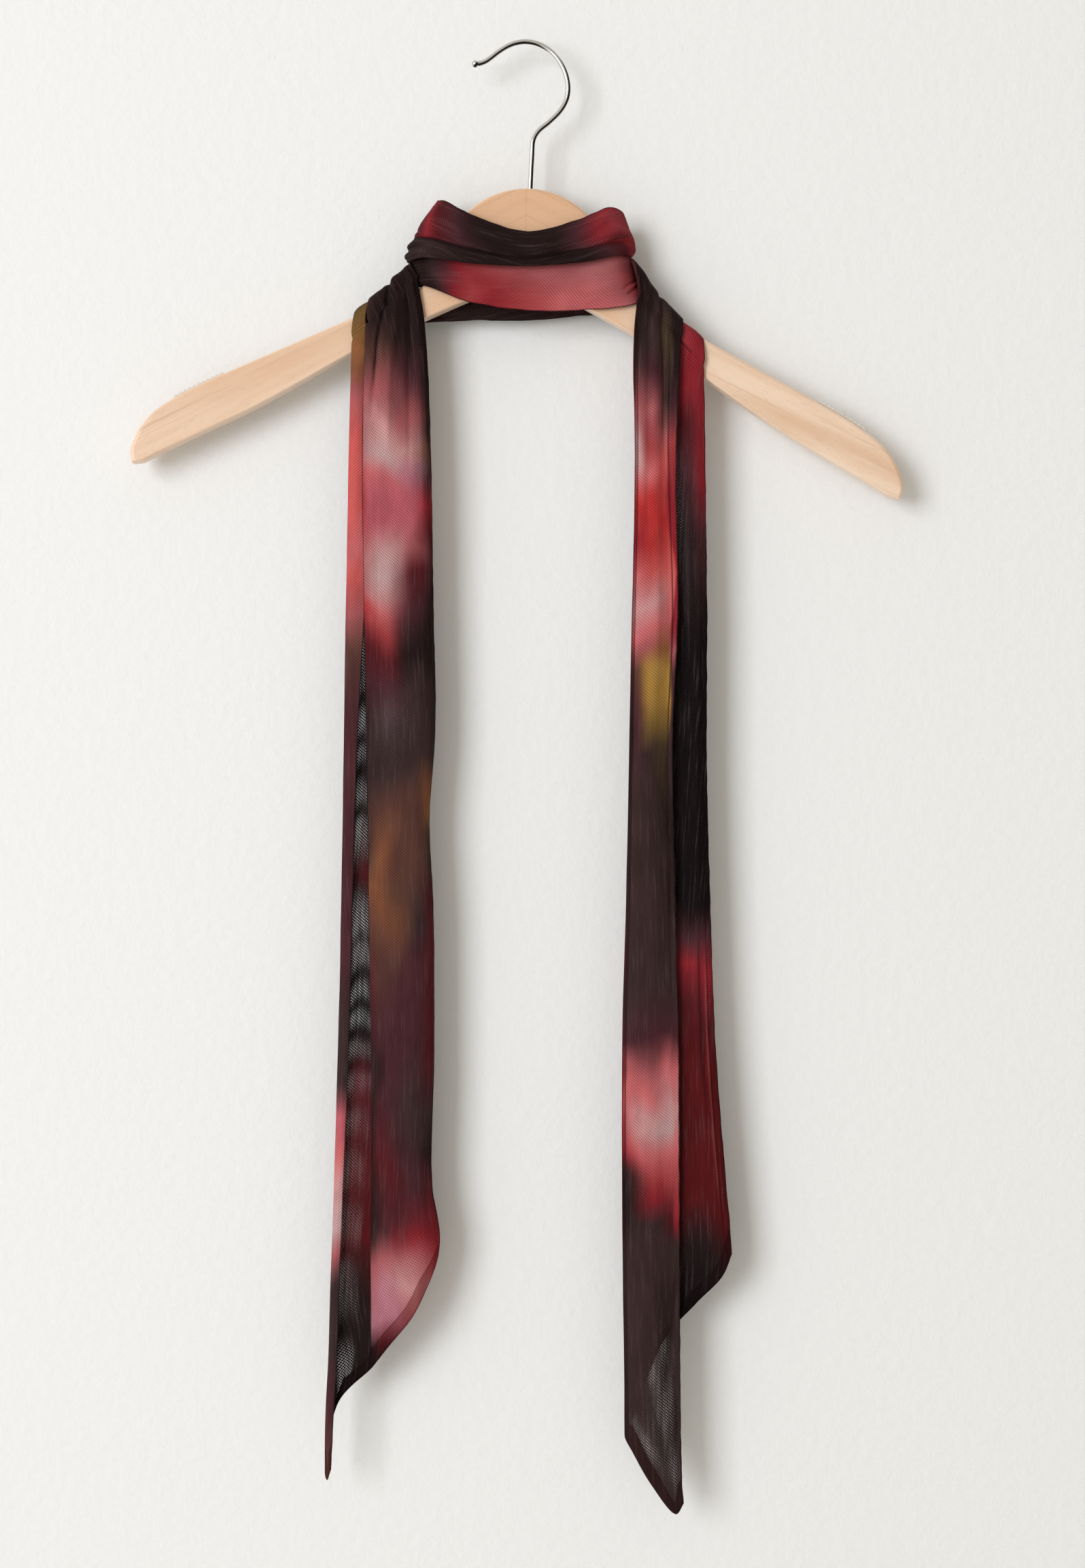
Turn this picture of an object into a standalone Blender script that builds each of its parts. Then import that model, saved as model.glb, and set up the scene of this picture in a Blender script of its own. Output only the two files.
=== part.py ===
"""A long narrow scarf of fine mesh, wound twice round the neck of a wooden hanger, its two tails over the arms.

The origin is the seat of the hook, where it hangs. +X is to the viewer's right, +Z is up and -Y is the front.
Tables are in millimetres, in that frame. The scene is in metres.
"""

from math import cos, pi, radians, sin

import bmesh
import bpy
import numpy as np

MM = 0.001
GAP = 0.3
# Between two stretches of the scarf, along it
SEAM = 0.8

# Hanger, in its own upright frame with the hook's seat at the origin
HANGER_LEAN = radians(2.73)
STEM_X = 6.25
WOOD_THICK = 12.0
WOOD_ROUND = 4.0
DOME_RADIUS = 48.5
DOME_HEIGHT = -131.0
DOME_SWEEP = radians(66)
DOME_STEPS = 9
# (distance from the stem's axis, height) down the arm's upper edge, from the dome to the toe
ARM_UPPER = (
    (48.0, -122.5), (51.5, -133.0), (60.0, -142.0), (76.0, -150.2), (100.0, -161.9), (134.0, -178.6),
    (168.5, -195.6), (192.0, -208.2), (208.0, -219.6), (216.6, -232.0), (219.7, -243.0), (218.2, -248.6),
)
# (distance from the stem's axis, height) back along the lower edge, to the middle
ARM_LOWER = (
    (212.5, -247.7), (204.0, -242.8), (180.5, -230.2), (150.5, -214.2), (123.0, -197.4), (98.0, -181.6),
    (60.0, -161.3), (36.0, -149.2), (15.0, -139.6), (0.0, -137.0),
)
UPPER_STEPS = 3
LOWER_STEPS = 2
HOLE_RADIUS = 1.75
HOLE_DEPTH = 16.0
HOLE_SIDES = 16

# Hook, in the hanger's frame: the wire's centre line, from the ball to the stem's foot
WIRE_RADIUS = 1.4
WIRE_STEPS = 3
BALL_RADIUS = 2.4
BALL_STEPS = 5
# Angle of the ball's first ring, so that it ends in a small flat cap
BALL_START = radians(12)
HOOK_ROUTE = (
    (-27.5, -13.3), (-24.0, -10.3), (-19.0, -7.5), (-14.8, -4.0), (-8.6, -0.1), (0.0, 1.75), (7.6, 0.5),
    (15.3, -4.0), (20.9, -10.9), (24.0, -18.0), (25.0, -24.5), (24.2, -30.6), (21.2, -36.6),
    (15.3, -43.2), (9.2, -48.9), (6.6, -54.0), (6.25, -64.0), (6.25, -97.5),
)

# Ribbed grip strips let into the top of each arm
RIB_COUNT = 11
RIB_PITCH = 2.9
RIB_HEIGHT = 1.5
RIB_HALF = 0.95
RIB_STEPS = 4
GRIP_BASE = 0.7
GRIP_WIDTH = 5.0
GRIP_START = 168.5

WALL = 1.2
# How far a pass behind the hanger follows the piece that it meets before it bends away
LEAD = 2.0

# Left tail. Its lengthwise lines, from the short long edge across the front, round the ridge
# and the left fold to the edge of the narrow strip that ends in the long point
LEFT_LINES = ("edge", "shoulder", "belly", "flank", "ridge", "tuck", "recess", "fold", "strip", "far_edge")
# height, then the x of each line there
LEFT_WIDTHS = (
    (-126, -67.0, -68.5, -74.0, -81.0, -88.3, -82.0, -91.0, -97.0, -95.0, -90.4),
    (-163, -57.2, -59.5, -69.0, -82.0, -89.0, -82.0, -92.0, -98.2, -95.5, -91.2),
    (-232, -54.0, -57.0, -66.0, -80.0, -92.0, -84.0, -95.0, -100.0, -98.0, -94.3),
    (-318, -52.4, -55.5, -65.0, -79.0, -91.2, -83.0, -95.5, -101.6, -98.5, -93.4),
    (-390, -51.4, -54.5, -64.0, -78.0, -89.9, -83.0, -95.5, -102.5, -99.5, -95.0),
    (-441, -54.8, -57.5, -65.5, -77.5, -89.2, -83.5, -95.5, -103.4, -100.3, -96.6),
    (-489, -52.6, -55.5, -64.5, -77.0, -88.7, -84.0, -96.0, -104.2, -101.2, -97.8),
    (-576, -52.0, -55.0, -64.0, -76.0, -87.4, -84.5, -97.0, -106.1, -103.4, -100.1),
    (-654, -52.5, -55.5, -64.0, -76.0, -86.9, -86.3, -98.0, -108.4, -105.9, -103.0),
    (-688, -48.6, -52.5, -62.5, -75.5, -87.0, -88.0, -99.0, -109.3, -107.2, -104.6),
    (-750, -51.0, -56.0, -63.5, -77.0, -86.2, -88.6, -100.0, -111.5, -109.2, -106.4),
    (-813, -51.0, -56.0, -63.5, -77.0, -86.2, -88.6, -100.0, -113.4, -112.0, -110.4),
)
# height, then the y of each line
LEFT_DEPTHS = (
    (-163, -8.6, -11.0, -12.4, -13.2, -12.2, -9.6, -7.5, -8.6, -10.8, -11.0),
    (-250, -9.5, -12.6, -15.0, -15.6, -13.6, -10.4, -7.6, -9.4, -12.2, -12.6),
    (-441, -9.0, -12.2, -14.6, -14.8, -13.2, -10.2, -7.6, -9.6, -12.2, -12.8),
    (-654, -10.4, -12.8, -15.4, -14.6, -11.8, -9.4, -8.0, -9.9, -12.6, -13.0),
    (-813, -11.4, -13.4, -15.2, -14.0, -11.2, -9.4, -8.2, -10.2, -13.0, -13.4),
)
LEFT_ENDS = (-696.0, -706.0, -720.5, -737.0, -749.0, -751.5, -760.0, -781.0, -797.0, -812.0)
# Where each line turns over the arm: its place along the slanting axis of the turn, its rise above that axis,
# its reach in front of and behind it, and how far it slants down along the axis on its way to the front
LEFT_OVER_ARM = (
    (17.8, 9.3, 8.2, 0.0), (15.6, 9.4, 9.4, 1.0), (8.1, 9.2, 10.2, 5.0), (0.0, 9.6, 10.2, 8.0),
    (-10.3, 10.1, 10.0, 10.0), (-4.5, 7.6, 7.8, 9.0), (-14.5, 8.4, 7.8, 10.5), (-21.8, 10.8, 8.8, 11.5),
    (-18.8, 11.4, 10.4, 12.0), (-13.7, 10.4, 10.4, 11.5),
)
LEFT_TURN_AXIS = (-73.9, -145.5)
LEFT_TURN_SLOPE = radians(44)

# Right tail, folded lengthwise at its left side: lines from the front part's long edge, round the fold,
# to the back part's edge
RIGHT_LINES = (
    "front_edge", "crease", "front_belly", "front_side", "fold", "back_side", "back_middle", "back_right",
    "back_bulge", "back_edge",
)
RIGHT_WIDTHS = (
    (-124, 88.0, 79.0, 73.0, 66.2, 62.0, 65.0, 76.0, 88.0, 96.5, 100.0),
    (-165, 87.6, 80.2, 72.0, 64.6, 61.6, 66.0, 78.0, 90.0, 97.0, 100.3),
    (-240, 84.8, 79.6, 71.5, 64.4, 61.6, 66.0, 78.0, 90.0, 97.6, 101.4),
    (-326, 85.8, 81.6, 71.0, 63.2, 60.1, 64.5, 77.0, 90.0, 98.0, 102.4),
    (-393, 82.8, 79.0, 70.0, 61.8, 58.7, 63.5, 76.0, 89.5, 97.6, 102.0),
    (-480, 84.3, 80.4, 69.5, 60.2, 57.0, 62.5, 76.0, 90.0, 99.0, 104.0),
    (-566, 86.1, 81.6, 69.5, 58.2, 54.7, 61.0, 76.0, 91.0, 101.0, 107.0),
    (-645, 86.6, 82.2, 70.0, 58.0, 54.4, 60.5, 77.0, 93.5, 106.0, 113.0),
    (-692, 86.8, 82.4, 70.0, 58.2, 54.9, 60.5, 78.0, 96.0, 109.0, 116.5),
    (-788, 87.4, 82.8, 70.5, 60.2, 55.9, 61.0, 78.0, 96.0, 109.0, 116.0),
    (-832, 87.9, 82.0, 70.5, 60.2, 55.9, 61.0, 78.0, 96.0, 109.0, 116.0),
)
RIGHT_DEPTHS = (
    (-165, -11.2, -11.0, -12.6, -12.2, -10.0, -7.9, -7.4, -7.5, -8.6, -7.6),
    (-250, -13.0, -12.4, -14.8, -14.0, -11.0, -8.3, -7.6, -8.2, -10.2, -8.4),
    (-480, -12.6, -12.8, -15.2, -14.2, -11.2, -8.4, -7.6, -8.4, -10.6, -8.8),
    (-692, -12.6, -13.2, -15.6, -14.4, -11.4, -8.6, -8.0, -9.2, -11.8, -9.6),
    (-832, -13.0, -13.8, -15.8, -15.2, -11.6, -8.4, -8.0, -9.2, -11.8, -9.6),
)
RIGHT_ENDS = (-831.0, -828.0, -812.0, -796.0, -787.5, -778.0, -742.0, -714.0, -699.0, -691.5)
RIGHT_OVER_ARM = (
    (-22.5, 10.2, 10.2, 9.0), (-10.1, 9.6, 10.0, 10.0), (0.0, 10.1, 10.4, 11.5), (12.2, 12.0, 10.2, 14.0),
    (18.3, 11.3, 9.0, 15.0), (12.5, 8.8, 7.8, 13.5), (-3.0, 7.6, 7.7, 11.0), (-20.0, 7.9, 7.7, 9.0),
    (-32.7, 11.4, 8.8, 11.0), (-38.0, 13.2, 9.0, 12.5),
)
RIGHT_TURN_AXIS = (65.8, -146.7)
RIGHT_TURN_SLOPE = radians(47)
TURNED_PAST_TOP = radians(118)
END_STEP = radians(2)
# Under 1, the turn is squarer than a circle, as over a board
TURN_SQUARENESS = 0.65

# Neck bands. Stations round the neck: back left, left turn, front left, quarter, middle, quarter,
# front right, right turn, back right. A row for each lengthwise line: its x at the nine stations,
# its y at the nine, and its height at the nine
UPPER_BAND = (
    ("top edge", (-44.0, -50.4, -46.0, -28.0, 1.0, 29.0, 46.5, 55.0, 48.0),
     (11.6, 1.0, -9.0, -11.2, -12.0, -11.4, -10.0, 0.0, 8.6),
     (-92.5, -90.0, -91.6, -100.4, -108.7, -102.0, -95.0, -97.2, -99.5)),
    ("face", (-50.0, -59.2, -53.0, -30.0, 1.0, 31.0, 50.0, 58.4, 50.0),
     (12.2, 1.0, -11.6, -15.0, -16.4, -15.2, -12.0, 0.0, 9.4),
     (-99.5, -101.0, -101.5, -108.4, -116.0, -109.6, -104.4, -105.4, -105.8)),
    ("crease", (-52.0, -62.0, -55.5, -31.0, 1.0, 32.0, 52.0, 60.2, 51.0),
     (12.0, 1.0, -11.2, -13.4, -14.2, -13.4, -11.2, 0.0, 9.0),
     (-107.5, -110.2, -111.8, -118.6, -124.4, -119.6, -114.6, -112.4, -111.0)),
    ("roll", (-54.5, -67.2, -58.5, -32.0, 1.0, 32.0, 53.5, 61.6, 52.0),
     (12.6, 1.0, -12.8, -16.2, -16.8, -16.2, -12.8, 0.0, 9.6),
     (-112.5, -116.0, -116.4, -122.4, -126.6, -122.6, -118.0, -117.0, -115.2)),
    ("roll foot", (-54.5, -67.4, -58.5, -32.0, 1.0, 32.0, 53.0, 60.0, 52.0),
     (12.4, 1.0, -11.9, -15.0, -15.4, -15.0, -11.7, 0.0, 9.2),
     (-117.5, -121.2, -122.4, -126.6, -128.4, -126.0, -121.4, -120.4, -119.4)),
    ("tuck", (-52.5, -64.6, -56.2, -31.5, 1.0, 31.5, 51.0, 57.2, 50.0),
     (12.0, 1.0, -10.2, -12.8, -13.2, -12.8, -10.2, 0.0, 8.8),
     (-119.5, -122.0, -121.4, -124.4, -126.0, -124.0, -120.2, -121.0, -121.6)),
)
LOWER_BAND = (
    ("top edge", (-57.0, -64.4, -55.0, -31.0, 1.0, 31.0, 50.0, 56.6, 49.0),
     (9.2, 0.5, -7.8, -9.2, -9.8, -9.2, -7.8, 0.0, 7.4),
     (-125.0, -124.2, -124.6, -125.2, -126.6, -124.8, -123.0, -123.6, -124.2)),
    ("upper face", (-57.2, -65.2, -56.0, -31.5, 1.0, 31.5, 52.0, 59.8, 52.5),
     (9.8, 0.5, -8.8, -10.6, -11.4, -10.6, -8.8, 0.0, 8.0),
     (-128.4, -127.6, -128.2, -131.6, -135.0, -132.4, -129.4, -128.6, -130.0)),
    ("face", (-57.2, -65.4, -56.6, -32.0, 1.0, 32.0, 54.0, 62.6, 55.5),
     (10.0, 0.5, -9.0, -10.9, -11.7, -10.9, -9.8, 0.0, 8.2),
     (-131.8, -131.2, -132.4, -138.4, -142.0, -140.0, -137.0, -134.2, -136.0)),
    ("lower face", (-57.0, -65.2, -56.8, -32.0, 1.0, 32.0, 56.5, 65.0, 58.5),
     (9.8, 0.5, -8.6, -9.8, -10.6, -9.8, -9.4, 0.0, 8.0),
     (-134.8, -134.2, -136.2, -143.6, -148.2, -146.6, -143.6, -140.0, -142.2)),
    ("lower edge", (-56.6, -64.8, -56.8, -32.0, 1.0, 32.0, 60.0, 67.4, 61.0),
     (9.4, 0.5, -8.0, -7.9, -8.6, -7.9, -8.8, 0.0, 7.8),
     (-137.4, -136.8, -138.8, -147.8, -152.6, -152.4, -149.8, -144.8, -148.6)),
)

# Passes behind the hanger. A row for each section: the x of its five lengthwise lines, top to bottom,
# then their y, then their heights. The sections at both ends come from the pieces that they meet
FIRST_PASS = (
    ((-68.4, -71.5, -76.5, -83.0, -91.2), (7.8, 9.0, 9.2, 8.8, 7.7),
     (-136.4, -140.8, -145.8, -151.2, -158.8)),
    ((-58.0, -59.0, -60.0, -61.0, -62.0), (7.4, 8.0, 7.4, 8.1, 7.4),
     (-141.0, -144.4, -148.2, -152.6, -157.2)),
    ((-30.0, -30.0, -30.0, -30.0, -30.0), (7.4, 8.1, 7.4, 8.1, 7.4),
     (-137.0, -141.2, -145.8, -151.0, -155.6)),
    ((0.0, 0.0, 0.0, 0.0, 0.0), (7.4, 8.2, 7.4, 8.2, 7.4),
     (-130.5, -136.6, -142.8, -149.6, -155.6)),
    ((30.0, 30.0, 30.0, 30.0, 30.0), (7.4, 8.2, 7.4, 8.2, 7.4),
     (-125.6, -132.6, -139.6, -146.6, -153.0)),
)
SECOND_PASS = (
    ((-32.0, -32.0, -32.0, -32.0, -32.0), (9.4, 10.4, 9.5, 10.3, 9.5),
     (-118.6, -123.2, -127.0, -131.2, -135.0)),
    ((0.0, 0.0, 0.0, 0.0, 0.0), (9.4, 10.5, 9.5, 10.4, 9.6),
     (-110.0, -115.6, -121.0, -126.4, -131.4)),
    ((30.0, 30.0, 30.0, 30.0, 30.0), (9.4, 10.4, 9.5, 10.4, 9.6),
     (-102.6, -108.2, -114.2, -120.2, -126.2)),
)
LAST_PASS = (
    ((-28.0, -28.0, -28.0, -28.0, -28.0), (12.2, 13.6, 12.4, 13.6, 12.4),
     (-99.4, -107.0, -114.0, -121.4, -128.6)),
    ((2.0, 2.0, 2.0, 2.0, 2.0), (12.2, 13.8, 12.4, 13.8, 12.4),
     (-106.6, -115.0, -123.0, -131.6, -139.6)),
    ((34.0, 34.0, 34.0, 34.0, 34.0), (12.6, 13.8, 12.6, 13.6, 12.4),
     (-114.6, -124.4, -134.0, -144.0, -153.0)),
    ((56.0, 59.5, 66.5, 76.0, 88.6), (12.2, 13.0, 11.8, 11.8, 9.6),
     (-121.8, -133.4, -145.0, -157.6, -169.4)),
)

# Steps of the mesh between two of the tables' lines, and between two rows
LINE_STEPS = 2
BAND_STEPS = 3
PASS_STEPS = 2
TAIL_ROWS = 25
WRAP_ROWS = 5
RESAMPLE_STEPS = 8


def clear_scene():
    for obj in list(bpy.data.objects):
        bpy.data.objects.remove(obj)


def material(name, color, roughness, metallic=0.0):
    made = bpy.data.materials.new(name)
    made.use_nodes = True
    shader = made.node_tree.nodes["Principled BSDF"]
    shader.inputs["Base Color"].default_value = (*color, 1.0)
    shader.inputs["Roughness"].default_value = roughness
    shader.inputs["Metallic"].default_value = metallic
    return made


def add(name, data, collection, made_of):
    obj = bpy.data.objects.new(name, data)
    collection.objects.link(obj)
    data.materials.append(made_of)
    return obj


def spline(points, steps):
    """Points on a smooth curve through all the given ones: steps of them from each to the next, and the last.

    The points may be single ones or whole rows, which then make a surface.
    """
    points = np.asarray(points, float)
    moves = points[1:] - points[:-1]
    lengths = np.sqrt((moves**2).sum(axis=-1)).reshape(len(moves), -1).mean(axis=1)
    spans = np.sqrt(np.maximum(lengths, 1e-6)).reshape((-1,) + (1,) * (points.ndim - 1))
    slopes = moves / spans
    inner = (slopes[:-1] * spans[1:] + slopes[1:] * spans[:-1]) / (spans[:-1] + spans[1:])
    tangents = np.concatenate([slopes[:1], inner, slopes[-1:]])
    made = []
    for i in range(len(moves)):
        for step in range(steps):
            t = step / steps
            made.append(
                points[i] * (2 * t**3 - 3 * t**2 + 1)
                + points[i + 1] * (3 * t**2 - 2 * t**3)
                + tangents[i] * spans[i] * (t**3 - 2 * t**2 + t)
                + tangents[i + 1] * spans[i] * (t**3 - t**2)
            )
    made.append(points[-1])
    return np.array(made)


def table_at(table, height, line):
    """The value of one line at a height, smooth through the table's levels."""
    levels = [row[0] for row in table]
    values = [row[line + 1] for row in table]
    if height >= levels[0]:
        return values[0]
    if height <= levels[-1]:
        return values[-1]
    i = next(k for k in range(len(levels) - 1) if height >= levels[k + 1])
    slopes = list(np.diff(values) / np.diff(levels))
    before = slopes[i] if i == 0 else (slopes[i - 1] + slopes[i]) / 2
    after = slopes[i] if i == len(slopes) - 1 else (slopes[i] + slopes[i + 1]) / 2
    span = levels[i + 1] - levels[i]
    t = (height - levels[i]) / span
    return (
        values[i] * (2 * t**3 - 3 * t**2 + 1)
        + values[i + 1] * (3 * t**2 - 2 * t**3)
        + before * span * (t**3 - 2 * t**2 + t)
        + after * span * (t**3 - t**2)
    )


def over_arm_row(over_arm, axis, slope, side, turned):
    """One row of a tail where it turns over the arm along a slanting axis, from the front up and back."""
    along = np.array([-side * cos(slope), 0, sin(slope)])
    out = np.array([side * sin(slope), 0, cos(slope)])
    middle = np.array([axis[0], 0, axis[1]])
    forward = abs(cos(turned)) ** TURN_SQUARENESS * (1 if turned < pi / 2 else -1)
    upward = sin(turned) ** TURN_SQUARENESS
    row = []
    for place, rise, reach, slant in over_arm:
        drawn = -slant * max(1 - turned / (pi / 2), 0) ** 2
        point = middle + along * (place + drawn) + out * rise * upward
        point[1] -= reach * forward
        row.append(point)
    return row


def tail_rows(widths, depths, ends, turn, side):
    """A tail's rows from just past the top of the arm, over it and down to the slanting end."""
    turns = np.linspace(TURNED_PAST_TOP, 0, WRAP_ROWS + 1)
    rows = [over_arm_row(*turn, side, turned) for turned in turns]
    starts = [point[2] for point in rows[-1]]
    for i in range(1, TAIL_ROWS + 1):
        down = i / TAIL_ROWS
        row = []
        for line, (start, end) in enumerate(zip(starts, ends)):
            height = start + (end - start) * down
            row.append((table_at(widths, height, line), table_at(depths, height, line), height))
        rows.append(row)
    return np.array(rows, float)


def tail_end(turn, side, lines):
    """The last row of a tail and one just before it, at these lines."""
    rows = [over_arm_row(*turn, side, TURNED_PAST_TOP), over_arm_row(*turn, side, TURNED_PAST_TOP - END_STEP)]
    return [[row[line] for line in lines] for row in rows]


def band_rows(table):
    """A neck band's sections, a row of its lengthwise lines at each station round the neck."""
    stations = zip(*[list(zip(xs, ys, heights)) for _, xs, ys, heights in table])
    return np.array(list(stations), float)


def resample(row, count):
    """A row as this many points, evenly along it."""
    fine = spline(row, RESAMPLE_STEPS)
    lengths = np.concatenate([[0], np.cumsum(np.linalg.norm(fine[1:] - fine[:-1], axis=1))])
    wanted = np.linspace(0, lengths[-1], count)
    return np.stack([np.interp(wanted, lengths, fine[:, axis]) for axis in range(3)], axis=1)


def beyond(end, before, count):
    """Two rows that carry a piece's end on, the nearer a gap past it."""
    end, before = resample(end, count), resample(before, count)
    moves = end - before
    moves /= np.linalg.norm(moves, axis=1, keepdims=True)
    return end + moves * SEAM, end + moves * LEAD


def pass_rows(start, sections, finish):
    """A pass behind the hanger, a gap short of the pieces that it meets.

    Each of those is its end row and the one before it.
    """
    sections = [np.stack(section, axis=1) for section in sections]
    count = len(sections[0])
    first, second = beyond(*start, count)
    last, next_to_last = beyond(*finish, count)
    return np.array([first, second, *sections, next_to_last, last])


def cloth(name, rows, row_steps, collection, made_of):
    """A wall of cloth through these rows of points."""
    grid = spline(np.array([spline(row, LINE_STEPS) for row in rows]), row_steps) * MM
    high, wide = grid.shape[:2]
    faces = []
    for i in range(high - 1):
        for j in range(wide - 1):
            corner = i * wide + j
            faces.append((corner, corner + 1, corner + wide + 1, corner + wide))
    mesh = bpy.data.meshes.new(name)
    mesh.from_pydata([tuple(point) for point in grid.reshape(-1, 3)], [], faces)
    mesh.shade_smooth()
    obj = add(name, mesh, collection, made_of)
    wall = obj.modifiers.new("Wall", "SOLIDIFY")
    wall.thickness = WALL * MM
    wall.offset = 0
    return obj


def dome_point(sweep):
    return DOME_RADIUS * sin(sweep), DOME_HEIGHT + DOME_RADIUS * cos(sweep)


def upper_edge():
    """The arm's upper edge, from the end of the dome's arc to the toe."""
    return spline([dome_point(DOME_SWEEP), *ARM_UPPER], UPPER_STEPS)


def hanger_outline():
    """The hanger's outline, from the dome's top down the right side, and mirrored back up the left."""
    dome = [dome_point(DOME_SWEEP * i / DOME_STEPS) for i in range(DOME_STEPS + 1)]
    upper = upper_edge()
    lower = spline(ARM_LOWER, LOWER_STEPS)
    right = [*dome[:-1], *[tuple(point) for point in upper], *[tuple(point) for point in lower]]
    left = [(-x, z) for x, z in right[1:-1]]
    return right + left[::-1]


def build_wood(hanger, collection, cutters):
    outline = hanger_outline()
    count = len(outline)
    half = WOOD_THICK / 2
    points = [((STEM_X + x) * MM, y * MM, z * MM) for y in (-half, half) for x, z in outline]
    sides = [(i, (i + 1) % count, count + (i + 1) % count, count + i) for i in range(count)]
    mesh = bpy.data.meshes.new("hanger_wood")
    mesh.from_pydata(points, [], [tuple(range(count))[::-1], tuple(range(count, 2 * count)), *sides])
    obj = add("hanger_wood", mesh, collection, material("Beech", (0.80, 0.60, 0.40), 0.45))
    obj.parent = hanger
    rounding = obj.modifiers.new("Rounded edges", "BEVEL")
    rounding.width = WOOD_ROUND * MM
    rounding.segments = 3
    rounding.limit_method = "ANGLE"
    rounding.angle_limit = radians(60)
    drill = bpy.data.meshes.new("stem_hole")
    cutter = bpy.data.objects.new("stem_hole", drill)
    cutters.objects.link(cutter)
    turn_cylinder(drill, HOLE_RADIUS, HOLE_DEPTH * 2)
    cutter.parent = hanger
    cutter.location = (STEM_X * MM, 0, (DOME_HEIGHT + DOME_RADIUS) * MM)
    cutter.hide_render = True
    cutter.display_type = "WIRE"
    hole = obj.modifiers.new("Stem hole", "BOOLEAN")
    hole.operation = "DIFFERENCE"
    hole.object = cutter


def turn_cylinder(mesh, radius, depth):
    shape = bmesh.new()
    bmesh.ops.create_cone(
        shape, cap_ends=True, segments=HOLE_SIDES, radius1=radius * MM, radius2=radius * MM, depth=depth * MM
    )
    shape.to_mesh(mesh)
    shape.free()


def build_hook(hanger, collection):
    """The wire hook as one curve. Its points swell into the ball at the free end."""
    route = spline([(x, 0.0, z) for x, z in HOOK_ROUTE], WIRE_STEPS)
    start, onward = route[0], (route[1] - route[0]) / np.linalg.norm(route[1] - route[0])
    neck = (BALL_RADIUS**2 - WIRE_RADIUS**2) ** 0.5
    ball = []
    for i in range(BALL_STEPS + 1):
        angle = BALL_START + (pi - BALL_START) * i / BALL_STEPS
        reach = -BALL_RADIUS * cos(angle)
        if reach < neck:
            ball.append((start + onward * reach, BALL_RADIUS * sin(angle)))
    wire = [(point, WIRE_RADIUS) for point in route[1:]]
    curve = bpy.data.curves.new("hook", "CURVE")
    curve.dimensions = "3D"
    curve.bevel_depth = MM
    curve.bevel_resolution = 3
    curve.use_fill_caps = True
    line = curve.splines.new("POLY")
    points = [*ball, (start + onward * neck, WIRE_RADIUS), *wire]
    line.points.add(len(points) - 1)
    for point, (place, radius) in zip(line.points, points):
        point.co = (*(place * MM), 1)
        point.radius = radius
    obj = add("hook", curve, collection, material("Chrome", (0.80, 0.80, 0.80), 0.12, 1.0))
    obj.parent = hanger


def arm_top(distance):
    """Height of the arm's upper edge at a distance from the stem's axis, in the hanger's frame."""
    edge = upper_edge()
    return float(np.interp(distance, edge[:, 0], edge[:, 1]))


def build_grip(name, side, hanger, collection, made_of):
    """A clear strip with ribs across it, following the top of one arm."""
    length = RIB_PITCH * RIB_COUNT
    profile = [(run * RIB_PITCH, GAP) for run in range(RIB_COUNT + 1)]
    profile.append((length, GAP + GRIP_BASE))
    for i in reversed(range(RIB_COUNT)):
        middle = RIB_PITCH * (i + 0.5)
        for step in range(RIB_STEPS + 1):
            angle = pi * step / RIB_STEPS
            height = GAP + GRIP_BASE + (RIB_HEIGHT - GRIP_BASE) * sin(angle)
            profile.append((middle + RIB_HALF * cos(angle), height))
    profile.append((0.0, GAP + GRIP_BASE))
    slope = np.array([1.0, (arm_top(GRIP_START + length) - arm_top(GRIP_START)) / length])
    along = slope / np.linalg.norm(slope)
    flat = bpy.data.curves.new(name, "CURVE")
    flat.dimensions = "2D"
    flat.fill_mode = "BOTH"
    flat.extrude = GRIP_WIDTH / 2 * MM
    line = flat.splines.new("POLY")
    line.use_cyclic_u = True
    line.points.add(len(profile) - 1)
    for point, (run, rise) in zip(line.points, profile):
        foot = GRIP_START + run * along[0]
        x = foot - rise * along[1]
        z = arm_top(foot) + rise * along[0]
        point.co = (side * x * MM, z * MM, 0, 1)
    obj = add(name, flat, collection, made_of)
    obj.parent = hanger
    obj.location.x = STEM_X * MM
    obj.rotation_euler.x = pi / 2


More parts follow.
